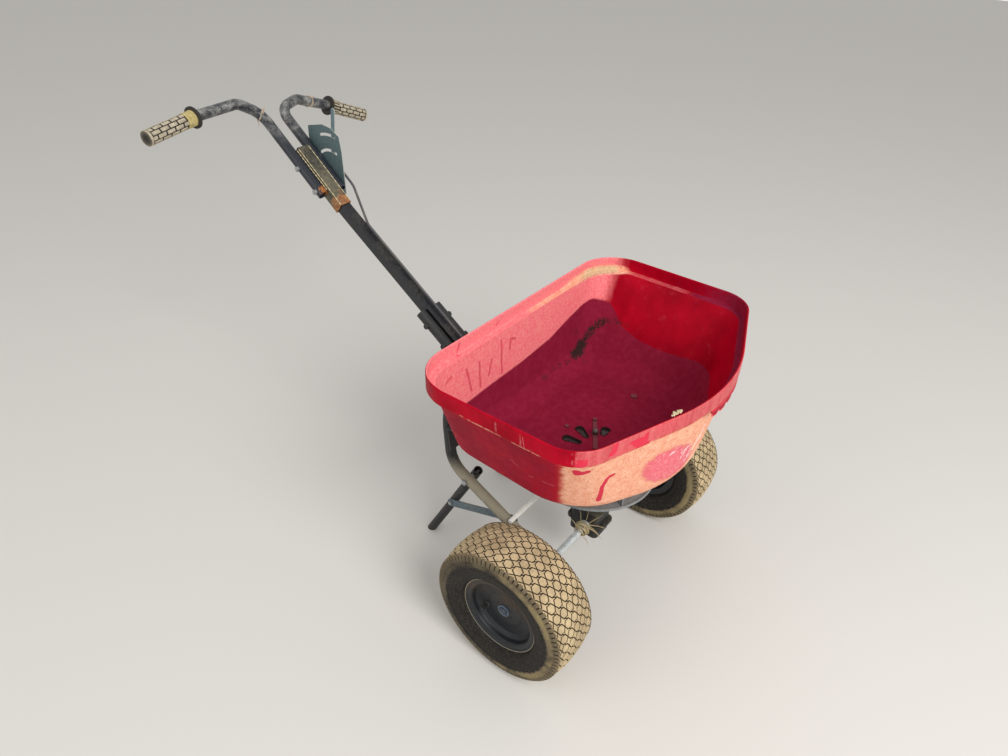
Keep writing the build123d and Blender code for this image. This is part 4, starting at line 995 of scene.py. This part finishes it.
def hopper_plastic():
    """Moulded polyethylene: glossy red where rubbed, pink where bleached, matt purple inside, partly a film
    of dust and partly painted shade.

    The vertices' "lie" holds dust, bleach and the purple film with painted shade, and their "mark" black
    dirt with the painted shade of the drop holes, wiped and bare.
    """
    material, tree, shader, where = new_material("Weathered red plastic")
    spot = where["Object"]
    lie, mark = (put(tree, SPLIT, put(tree, WEAR, attribute_name=name, gives="Vector"))
                 for name in ("lie", "mark"))
    # Patches of 91, 14, 5 and 2 mm, streaks 11 mm wide that run 143 mm down the wall, and a
    # drift that bends a scratch over 22 mm. Dust is finer than the 2 mm it is drawn at here.
    big = put(tree, CLOUDS, spot, 1000 / 90.9, 4.0, 0.55)
    mid = put(tree, CLOUDS, spot, 1000 / 14.3, 6.0, 0.65)
    small = put(tree, CLOUDS, spot, 1000 / 5.26, 5.0, 0.65)
    fine = put(tree, CLOUDS, spot, 1000 / 2.38, 3.0, 0.6)
    streak_size = (1000 / 11.1, 1000 / 11.1, 1000 / 143)
    streak = put(tree, CLOUDS, put(tree, STRETCHED, spot, streak_size), 1.0, 5.0, 0.6)
    drift = put(tree, APART, put(tree, CLOUDS, spot, 1000 / 22.2, 2.0, gives=1), (0.5, 0.5, 0.5))
    shaky = put(tree, "ShaderNodeVectorMath", spot, put(tree, SCALED, drift, 0.005), operation="ADD")
    around = put(tree, MINUS, mid, 0.5)

    # The plastic itself: red with darker streaks down it, bleached pink by sun, and purple where dulled, a
    # film of dust on the floor and painted shade on the back wall and outer walls
    red = put(tree, MIX, put(tree, SMOOTH, big, 0.3, 0.7), "96001A", "B40322")
    red = put(tree, MIX, put(tree, TIMES, put(tree, SMOOTH, streak, 0.5, 0.8), 0.3), red, "7C061E")
    worn = put(tree, TIMES, put(tree, SMOOTH, put(tree, CLOUDS, spot, 1000 / 29.4, 6.0, 0.7), 0.56, 0.72),
               0.12)
    red = put(tree, MIX, worn, red, "D8556B")
    dulled_and_shaded = put(tree, MIX, put(tree, SMOOTH, mid, 0.35, 0.7), "801B36", "8C2440")
    edge = put(tree, PLUS, lie[2], put(tree, TIMES, around, 0.5))
    film = put(tree, TIMES, put(tree, SMOOTH, edge, 0.30, 0.75), 0.88)
    colour = put(tree, MIX, film, red, dulled_and_shaded)
    pale = put(tree, PLUS, lie[1], put(tree, TIMES, put(tree, MINUS, streak, 0.5), 0.3))
    pale = put(tree, MINUS, pale, put(tree, TIMES, put(tree, SMOOTH, fine, 0.6, 0.75), 0.08))
    pink = put(tree, MIX, put(tree, SMOOTH, small, 0.30, 0.75), "F8737F", "FF9E98")
    colour = put(tree, MIX, put(tree, TIMES, put(tree, SMOOTH, pale, 0.2, 0.8), 0.92), colour, pink)

    # Lines wiped in the bleached back, and scratches and drips on the near side
    wipes = strokes(tree, shaky, (
        ((-193, -202, 601), (-180, -204, 543)), ((-152, -202, 598), (-152, -204, 536)),
        ((-113, -203, 587), (-122, -204, 551)), ((-80, -202, 617), (-78, -204, 533)),
        ((-31, -202, 599), (-48, -202, 605), (-50, -203, 581)), ((-257, -204, 601), (-240, -203, 606)),
        ((-200, -189, 661), (-208, -193, 638)), ((-60, -186, 664), (-82, -187, 650))), 0.0014, 0.0030)
    wipes = put(tree, TIMES, wipes, put(tree, SMOOTH, small, 0.30, 0.46))
    colour = put(tree, MIX, put(tree, TIMES, wipes, 0.75), colour, "CE3950")
    scratches = strokes(tree, shaky, (
        ((-305, -388, 555), (-298, -408, 536), (-297, -428, 533)),
        ((-291, -435, 519), (-296, -466, 526), (-291, -493, 527)),
        ((-349, -506, 643), (-333, -498, 618)), ((-350, -458, 657), (-350, -463, 636))), 0.00035, 0.0005)
    drips = strokes(tree, spot, (
        ((-350, -400, 660), (-350, -402, 640)), ((-350, -452, 660), (-350, -455, 636)),
        ((-337, -548, 664), (-336, -549, 640)), ((-333, -553, 662), (-333, -554, 645))), 0.0012, 0.0016)
    marks = put(tree, LARGER, scratches, put(tree, TIMES, drips, put(tree, SMOOTH, mid, 0.40, 0.75)))

    # Dust: salmon where it is thin over the red and tan where it is thick, off where wiped
    bare = put(tree, SMOOTH, put(tree, PLUS, mark[2], put(tree, TIMES, around, 1.1)), 0.15, 0.95)
    wiped = put(tree, SMOOTH, put(tree, PLUS, mark[1], put(tree, TIMES, around, 0.6)), 0.35, 0.75)
    finger = strokes(tree, shaky, (
        ((-230, -574, 557), (-237, -570, 556), (-240, -567, 548), (-239, -561, 530), (-230, -555, 503),
         (-220, -547, 472)),), 0.0028, 0.0050)
    smear = strokes(tree, shaky, (((-304, -541, 604), (-302, -543, 594), (-291, -552, 599)),),
                    0.0050, 0.0075)
    wiped = put(tree, LARGER, wiped, put(tree, LARGER, finger, smear))
    dusty = put(tree, TIMES, lie[0], put(tree, MINUS, 1.0, wiped))
    dusty = put(tree, TIMES, dusty, put(tree, MINUS, 1.0, put(tree, TIMES, bare, 0.86)))
    ragged = put(tree, TIMES, put(tree, TIMES, around, 0.35), put(tree, SMOOTH, dusty, 0.05, 0.3))
    layer = put(tree, PLUS, dusty, ragged)
    thin = put(tree, SMOOTH, layer, 0.10, 0.45)
    thick = put(tree, PLUS, layer, put(tree, TIMES, put(tree, MINUS, fine, 0.5), 0.5))
    thick = put(tree, SMOOTH, thick, 0.78, 0.98)
    glossy = put(tree, MIX, put(tree, SMOOTH, small, 0.45, 0.75), "EC707E", "FAB2AE")
    colour = put(tree, MIX, put(tree, TIMES, bare, 0.8), colour, glossy)
    colour = put(tree, MIX, put(tree, TIMES, wiped, 0.85), colour, "D42C46")
    salmon = put(tree, MIX, put(tree, SMOOTH, mid, 0.3, 0.7), "E9A584", "F5C0A2")
    specks = put(tree, TIMES, put(tree, SMOOTH, fine, 0.55, 0.63), 0.75)
    salmon = put(tree, MIX, specks, salmon, "C0503F")
    colour = put(tree, MIX, put(tree, TIMES, thin, 0.94), colour, salmon)
    tan = put(tree, MIX, put(tree, SMOOTH, fine, 0.35, 0.7), "C4A27C", "EBCFA8")
    colour = put(tree, MIX, thick, colour, tan)
    colour = put(tree, MIX, put(tree, TIMES, marks, 0.6), colour, "E79A9A")

    # White chips and scuffs in the dust, and a worn line along the ledge of the near side
    chips = strokes(tree, shaky, (
        ((-106, -623, 549), (-93, -626, 552)), ((-95, -627, 558), (-84, -628, 560)),
        ((-72, -629, 545), (-62, -630, 548)), ((-66, -630, 532), (-54, -631, 536)),
        ((-48, -632, 536), (-42, -633, 540)), ((-8, -642, 572), (-5, -636, 532)),
        ((-6, -640, 557), (-19, -634, 522)), ((-4, -636, 537), (-24, -631, 507)),
        ((-14, -635, 528), (-29, -629, 495)), ((-32, -633, 526), (-35, -627, 488)),
        ((11, -630, 499), (4, -625, 466)), ((-51, -633, 540), (-62, -627, 514))), 0.0010, 0.0016)
    colour = put(tree, MIX, put(tree, TIMES, chips, put(tree, SMOOTH, small, 0.38, 0.5)), colour, "F6E3DE")
    scuff = strokes(tree, shaky, (
        ((-346, -250, 636), (-351, -330, 636), (-350, -393, 636), (-350, -462, 636), (-347, -520, 636)),
        ), 0.0006, 0.0012)
    scuff = put(tree, TIMES, scuff, put(tree, SMOOTH, mid, 0.42, 0.56))
    colour = put(tree, MIX, put(tree, TIMES, scuff, 0.9), colour, "DDA286")

    # Black grime over all of it, in crumbs at its edges, and the painted shade of the drop holes, wholly
    # black
    black = put(tree, PLUS, mark[0], put(tree, TIMES, put(tree, MINUS, small, 0.5), 2.2))
    black = put(tree, TIMES, put(tree, SMOOTH, black, 0.40, 1.05), put(tree, SMOOTH, mark[0], 0.1, 0.3))
    black = put(tree, LARGER, black, put(tree, SMOOTH, mark[0], 0.93, 0.99))
    colour = put(tree, MIX, put(tree, TIMES, black, 0.92), colour, "232420")
    cover = put(tree, LARGER, put(tree, LARGER, thin, thick), film)
    rough = put(tree, SPREAD, cover, 0.42, 0.94)
    relief = put(tree, PLUS, thick, put(tree, TIMES, fine, 0.2))
    relief = put(tree, MINUS, relief, put(tree, TIMES, scratches, 0.4))
    finish_surface(tree, shader, colour, rough, height=relief, depth=0.0006)
    # Chalked plastic throws back far less of the sky than new plastic does
    shader.inputs["Specular IOR Level"].default_value = 0.06
    return material


red_plastic = hopper_plastic()
tub = solid("hopper_tub", points, faces, red_plastic, 40.0, {
    "lie": np.column_stack([dust, chalk, dulling_and_shade]), "mark": np.column_stack([grime_and_hole_shade, clean, patch])})
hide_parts("hopper")
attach(tub, "frame")

# The torn strip: a thin sheet below the lip's outer face with a ragged, whitened edge, given in
# millimetres across and down from the ledge
TORN = ((-45, 6), (-36, 19), (-22, 21), (-15, 14), (-6, 23), (12, 24), (20, 17), (29, 24), (46, 22),
        (53, 15), (61, 20), (80, 19), (88, 11), (94, 4))
bow_centre, bow_radius, _, _ = outline_parts(RIM_OUTLINE)[3]
across = np.unique(np.concatenate([np.linspace(-0.045, 0.094, 58), [x / 1000 for x, _ in TORN]]))
lower = np.interp(across, [x / 1000 for x, _ in TORN], [down / 1000 for _, down in TORN])
rows = 7
TORN_THICK = 0.0025
vertices, faces, edge_white = [], [], []
for layer in (0.0, TORN_THICK):
    for row in range(rows):
        share = row / (rows - 1)
        for x_at, down in zip(across, lower):
            y_at = bow_centre[1] - math.sqrt((bow_radius - layer) ** 2 - (x_at - bow_centre[0]) ** 2)
            vertices.append((x_at, y_at + AXLE_Y, LEDGE + 0.0003 - share * down))
            edge_white.append(share)
wide, high = len(across), len(across) * rows
for row in range(rows - 1):
    for k in range(wide - 1):
        a, b = row * wide + k, row * wide + k + 1
        faces += [(a, b, b + wide, a + wide), (high + a, high + a + wide, high + b + wide, high + b)]
for k in range(wide - 1):
    last = (rows - 1) * wide
    faces.append((k, high + k, high + k + 1, k + 1))
    faces.append((last + k, last + k + 1, high + last + k + 1, high + last + k))
for row in range(rows - 1):
    for k in (0, wide - 1):
        a, b = row * wide + k, (row + 1) * wide + k
        faces.append((a, b, high + b, high + a))
edge_white = np.array(edge_white)
torn = solid("torn_lip_strip", vertices, faces, red_plastic, 40.0, {
    "lie": np.column_stack([0 * edge_white, 0.12 + 0.80 * soft(edge_white, 0.80, 1.0), 0 * edge_white]),
    "mark": np.column_stack([0 * edge_white, 0.9 * (1 - edge_white), 0 * edge_white])})
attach(torn, "frame")

# Crumbs of dried crust on the front lip: tan and as matt as plaster
crust = weathered("Dried tan crust", "CDBD97", "A89874", "DDD0AC", cover=0.3, lie=0.2, roughness=0.9,
                  coarse=16.67)
crumbs = []
for k in range(9):
    size = 0.0018 + 0.0016 * math.sin(2.3 * k) ** 2
    root = Vector((-0.151 + 0.0029 * k, -0.6285 - 0.0009 * k + 0.0012 * math.sin(4.1 * k), 0.6682))
    crumbs.append(strand([root, root + Vector((size, 0.4 * size, 0.9 * size)),
                          root + Vector((2 * size, 0, 0.3 * size))],
                         [0.6 * size, size, 0.4 * size], 5))
crumb = solid("lip_crumbs", *join(crumbs), crust, 60.0)
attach(crumb, "frame")

# Steel under the dust of the red plastic: purple brown, with hardly any sheen
floor_steel = weathered("Dusty strap steel", "64323C", "4A2630", "7C3640", cover=0.4, lie=0.3,
                        metallic=0.2, roughness=0.6, rust=0.1)
# Moulded plate, half matt, drawn near black so that the drop holes above it look dark: painted shade
gate_plastic_and_shade = weathered("Dark gate plate", "1B1A1A", "232020", "3A332E", cover=0.15, lie=0.1,
                         roughness=0.5)
paint(["shaft_strap", "floor_rivets", "hopper_bolts"], floor_steel)
paint(["flow_gate"], gate_plastic_and_shade)

# Column and handle: a square black tube from the frame up into a sleeve, and two round tubes
# bolted to the sleeve that spread into a bar with padded rubber grips. Crust clings to the bar and
# along the sleeve's seams, rust has come through at the lower ends, and twine is tied round both.

HANDLE_SLOPE = math.radians(37.8)
HANDLE_TWIST = math.radians(9.9)
TUBE_ACROSS = 0.0289
BEND_Y = 0.780
BEND_Z = 0.737
# The bar's corners: across, along the handle from the column's bend and square to it
BAR = ((0.095, 0.330, 0.011), (0.202, 0.322, -0.009), (0.342, 0.291, -0.028))


def on_handle(across, along, square):
    """A point across the handle, along its line from the column's bend and square to it."""
    return Vector((across,
                   BEND_Y + along * math.cos(HANDLE_SLOPE) - square * math.sin(HANDLE_SLOPE) + AXLE_Y,
                   BEND_Z + along * math.sin(HANDLE_SLOPE) + square * math.cos(HANDLE_SLOPE)))


def on_bar(side, point):
    """A point of the bar, which is turned a little about the handle's line."""
    across, along, square = side * point[0], point[1], point[2]
    c, s = math.cos(HANDLE_TWIST), math.sin(HANDLE_TWIST)
    return on_handle(across * c + square * s, along, square * c - across * s)


# The enamel that has kept its sheen best
column_paint = weathered("Black column paint", "15161A", "222327", "5A5446", cover=0.1, lie=0.15,
                         roughness=0.35)
# Enamel worn matt and brown, with rust breaking through at the lower end
sleeve_paint = weathered("Worn sleeve paint", "2C2B26", "3F3D34", "7A735C", cover=0.32, lie=0.12,
                         roughness=0.6, rust=0.25, rust_at=(on_handle(0, 0.004, 0), 0.055))
# Blue black enamel: a clear sheen between pale specks, which end near the sleeve
handle_paint = weathered("Blue black handle paint", "1D2026", "2D3139", "CFCDC4", cover=0.31, lie=0.0,
                         roughness=0.34, coarse=23.8, dust_between=(0.915, 0.865), rust=0.1,
                         rust_at=(on_handle(-0.022, 0.056, 0.012), 0.030))
paint(["column"], column_paint)
paint(["handle_sleeve"], sleeve_paint)
paint(["handle_tube_left", "handle_tube_right"], handle_paint)
paint(["handle_bolts", "lever_bolt"], zinc)

# Crust along three of the sleeve's seams, in lumps
seams = []
for across, square, low, high, thick in ((-0.0158, 0.0158, 0.006, 0.178, 0.0017),
                                         (0.0158, 0.0158, 0.010, 0.182, 0.0017),
                                         (-0.0172, 0.0090, 0.058, 0.180, 0.0022)):
    count = 60
    line = [on_handle(across, low + (high - low) * k / count, square) for k in range(count + 1)]
    seams.append(strand(line, [thick * (0.55 + 0.45 * math.sin(1.9 * k + 40 * across) * math.sin(0.7 * k))
                               for k in range(count + 1)]))
seam = solid("sleeve_crust", *join(seams), crust, 60.0)
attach(seam, "frame")


def tied(centre, along, lean, tails):
    """Twine wound round a tube at a point, with tails given as steps from the winding."""
    along = along.normalized()
    across = along.cross(Vector((0, 0, 1))).normalized()
    upward = across.cross(along)
    line = []
    for k in range(45):
        angle = lean + 4.6 * math.pi * k / 44
        away = 0.0138 + 0.0007 * math.sin(2.7 * angle)
        line.append(centre + along * (0.0042 * math.sin(1.1 * angle)) + away * (
            math.cos(angle) * across + math.sin(angle) * upward))
    parts = [strand(line, [0.0010] * len(line), 5)]
    for root, *steps in tails:
        spots = [centre + 0.0142 * (math.cos(root) * across + math.sin(root) * upward)]
        for step in steps:
            spots.append(spots[-1] + Vector(step) / 1000)
        parts.append(strand(spots, [0.0016] + [0.0010] * (len(spots) - 2) + [0.0004], 5))
    return join(parts)


corner = on_handle(-TUBE_ACROSS, 0.309, 0)
entering = (corner - on_handle(-TUBE_ACROSS, 0.052, 0)).normalized()
leaving = (on_bar(-1, BAR[0]) - corner).normalized()
bend = corner + (leaving - entering).normalized() * 0.0095
# Twisted plant fibre: bleached and without sheen
twine = weathered("Bleached twine", "C6B39A", "A08A72", "D8CBB2", cover=0.2, lie=0.1, roughness=0.9,
                  coarse=16.67)
# Each tail: the angle where it leaves the winding, then its steps in millimetres
right_tails = ((1.7, (1, -2, 5), (-1, -3, 7), (2, 1, 5)), (-1.3, (-2, -4, -5), (1, -2, -8), (-2, 1, -7)))
left_tails = ((2.4, (-4, -2, 3), (-6, -3, 1), (-3, 1, -4)), (0.9, (3, -2, 3), (5, -3, -2)))
inner_end, outer_end = on_bar(1, BAR[0]), on_bar(1, BAR[1])
ties = [tied(bend, entering + leaving, 0.5, right_tails),
        tied(inner_end.lerp(outer_end, 0.42), outer_end - inner_end, 2.0, left_tails)]
wound = solid("handle_twine", *join(ties), twine, 60.0)
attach(wound, "frame")


GRIP_RADIUS = 0.0175
PAD_ROWS = 5
PAD_PITCH = 0.0245
PAD_LENGTH = 0.0207
PAD_HALF = 0.0042


def grip_slice():
    """Two rows of raised pads along a grip, half a pad apart, standing around the X axis."""
    vertices, faces, top = [], [], []
    for turn, shift in ((0.0, 0.0), (math.pi / PAD_ROWS, PAD_PITCH / 2)):
        for k in range(-1, 5):
            low = 0.0083 + PAD_PITCH * k + shift
            low, high = max(low, 0.0066), min(low + PAD_LENGTH, 0.1064)
            if high - low < 0.003:
                continue
            start = len(vertices)
            for inset, radius, shown in ((0.0, 0.0150, 0.0), (0.0, 0.0169, 0.75),
                                         (0.0006, GRIP_RADIUS, 1.0)):
                half = PAD_HALF - inset
                ends = [(-half, 0.001), (0.001 - half, 0.0), (0.0, 0.0), (half - 0.001, 0.0),
                        (half, 0.001)]
                ring = [(low + inset + trim, across) for across, trim in ends]
                ring += [(high - inset - trim, across) for across, trim in ends[::-1]]
                for along, across in ring:
                    angle = turn + across / GRIP_RADIUS
                    vertices.append((along, radius * math.cos(angle), radius * math.sin(angle)))
                    top.append(shown)
            foot, side, face = (range(start + 10 * row, start + 10 * row + 10) for row in range(3))
            faces += [*band(foot, side), *band(side, face)]
            for i in range(4):
                faces.append((start + 20 + i, start + 21 + i, start + 28 - i, start + 29 - i))
                faces.append((start + i, start + 9 - i, start + 8 - i, start + 1 + i))
    return vertices, faces, top


def grip_rubber():
    """Moulded rubber without sheen: dark between pads that dust and hands have made tan.

    The vertices' "top" says where it is tan and their "band" where it is olive.
    """
    material, tree, shader, where = new_material("Tan dusty grip rubber")
    spot = where["Object"]
    # Wear in patches of 8 mm, and grit that is drawn at 1.25 mm because finer wouldn't show
    mid = put(tree, CLOUDS, spot, 1000 / 8.33, 5.0, 0.55)
    grit = put(tree, CLOUDS, spot, 1000 / 1.25, 3.0, 0.55)
    top, olive_band = (put(tree, WEAR, attribute_name=name) for name in ("top", "band"))
    tan = put(tree, MIX, put(tree, SMOOTH, mid, 0.35, 0.7), "A59A84", "C6BAA2")
    dark = put(tree, MIX, put(tree, SMOOTH, grit, 0.35, 0.7), "221F1D", "38322A")
    raised = put(tree, TIMES, put(tree, SMOOTH, top, 0.45, 0.85), put(tree, SMOOTH, grit, 0.2, 0.42))
    colour = put(tree, MIX, raised, dark, tan)
    olive = put(tree, MIX, put(tree, SMOOTH, mid, 0.35, 0.7), "A3935A", "C3B27C")
    colour = put(tree, MIX, put(tree, TIMES, olive_band, put(tree, SMOOTH, grit, 0.15, 0.4)), colour, olive)
    finish_surface(tree, shader, colour, 0.85, height=put(tree, PLUS, mid, grit), depth=0.0003)
    return material


# Closed outline of a grip from its open end: along, radius, dust on it, olive band
grip_outline = ((0.0, 0.0, 0.4, 0), (0.0, 0.0165, 0.6, 0), (0.0010, 0.0175, 1, 0), (0.0052, 0.0175, 1, 0),
                (0.0058, 0.0172, 0, 0), (0.0062, 0.0158, 0, 0), (0.1066, 0.0158, 0, 0),
                (0.1070, 0.0173, 0, 1), (0.1074, 0.0176, 0, 1), (0.1310, 0.0181, 0, 1),
                (0.1318, 0.0186, 0, 0), (0.1330, 0.0240, 0, 0), (0.1338, 0.0250, 0, 0),
                (0.1374, 0.0250, 0, 0), (0.1380, 0.0244, 0, 0), (0.1380, 0.0130, 0, 0),
                (0.0037, 0.0130, 0, 0), (0.0037, 0.0, 0, 0))
padded = grip_rubber()
vertices, faces, top = grip_slice()
slice_of_pads = solid("grip_slice", vertices, faces, padded, 40.0, {"top": top})
for name, side in (("right", -1), ("left", 1)):
    tip, inner_end = on_bar(side, BAR[2]), on_bar(side, BAR[1])
    inward = (inner_end - tip).normalized()
    stand = inward.to_track_quat("X", "Z").to_matrix().to_4x4()
    stand.translation = tip - inward * 0.004
    vertices, faces = turned([spot[:2] for spot in grip_outline], 48, lambda along, radius, angle: (
        along, radius * math.cos(angle), radius * math.sin(angle)))
    grip = solid(f"grip_body_{name}", vertices, faces, padded, 35.0, {
        "top": [spot[2] for spot in grip_outline] * 48,
        "band": [spot[3] * (1.0 if name == "right" else 0.15) for spot in grip_outline] * 48})
    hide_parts(f"grip_{name}")
    pads = grown(f"grip_pads_{name}", copies_around, {
        "Slice": slice_of_pads, "Count": PAD_ROWS, "Centre": (0, 0, 0), "Material": padded})
    pieces = [grip, pads]
    if name == "left":
        ribs = []
        rib_count = 16
        for k in range(rib_count):
            ends = []
            for along, low, high in ((0.1084, 0.0170, 0.0190), (0.1325, 0.0170, 0.0228)):
                for radius, across in ((low, -0.0014), (low, 0.0014), (high, 0.0010), (high, -0.0010)):
                    angle = 2 * math.pi * k / rib_count + across / GRIP_RADIUS
                    ends.append((along, radius * math.cos(angle), radius * math.sin(angle)))
            ribs.append((ends, BOX_FACES))
        vertices, faces = join(ribs)
        pieces.append(solid("grip_ribs_left", vertices, faces, padded, 30.0,
                            {"top": [0.9] * len(vertices)}))
    for piece in pieces:
        piece.data.transform(stand)
        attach(piece, "frame")
bpy.data.objects.remove(slice_of_pads)

# Flow control: a zinc plate with two curved slots, a lever that swings over it and the rod
# that runs down the column to the gate.

# Zinc plate gone green grey and nearly matt; its edges are drawn pale, a painted highlight where light
# catches them
plate_zinc = weathered("Grey zinc plate", "66787B", "566A6E", "85836F", cover=0.14, lie=0.1,
                       metallic=0.25, roughness=0.45, rust=0.05, edges="B9BDB6")
# The same plate, bluer and rubbed a little smoother by use, its edges drawn pale as the same painted
# highlight
lever_zinc = weathered("Blue grey lever", "71868C", "5B6E74", "8F8B78", cover=0.16, lie=0.1,
                       metallic=0.25, roughness=0.42, edges="A9AEA8")
paint(["flow_plate"], plate_zinc)
paint(["flow_lever"], lever_zinc)
paint(["control_rod"], dull_rod)

# Studio: a plain pale floor of matt paint, a wide soft light from the front, a weak one from
# the right, and an even pale surround that the camera sees brighter than it lights.

material, tree, shader, where = new_material("Pale studio floor")
finish_surface(tree, shader, "D6D3CD", 0.9)
mesh = bpy.data.meshes.new("floor")
mesh.from_pydata([(-14, -14, 0), (14, -14, 0), (14, 14, 0), (-14, 14, 0)], [], [(0, 1, 2, 3)])
mesh.materials.append(material)
floor = bpy.data.objects.new("floor", mesh)
bpy.context.collection.objects.link(floor)

world = bpy.data.worlds.new("surround")
bpy.context.scene.world = world
world.use_nodes = True
tree = world.node_tree
seen = put(tree, "ShaderNodeLightPath", gives="Is Camera Ray")
background = tree.nodes["Background"].inputs
feed(tree, background["Strength"], put(tree, SPREAD, seen, 0.62, 0.95))
feed(tree, background["Color"], "FFFFFF")

for name, place, aim, size, watts in (("key", (-1.2, -3.4, 3.2), (0, 0, 0.4), 2.4, 145.0),
                                      ("fill", (-3.6, 1.2, 2.6), (0, 0, 0.4), 3.0, 24.0)):
    lamp = bpy.data.lights.new(name, "AREA")
    lamp.shape = "DISK"
    lamp.size = size
    lamp.energy = watts
    light = bpy.data.objects.new(name, lamp)
    light.location = place
    light.rotation_euler = (Vector(aim) - Vector(place)).to_track_quat("-Z", "Y").to_euler()
    bpy.context.collection.objects.link(light)

# Camera at the photograph's place: its right, up and backward directions are the matrix columns
lens = bpy.data.cameras.new("camera")
lens.lens = 25.805
lens.sensor_width = 36.0
lens.clip_end = 60.0
camera = bpy.data.objects.new("camera", lens)
bpy.context.collection.objects.link(camera)
right = Vector((0.61612591, -0.78721933, 0.02597287))
upward = Vector((0.43588886, 0.36824774, 0.82121526))
forward = Vector((0.65604098, 0.49465071, -0.57002711))
matrix = camera.matrix_world.copy()
for row in range(3):
    matrix[row][0], matrix[row][1], matrix[row][2] = right[row], upward[row], -forward[row]
matrix.translation = (-1.11161, -0.98985, 1.42080)
camera.matrix_world = matrix
bpy.context.scene.camera = camera
bpy.context.scene.view_settings.view_transform = "Standard"
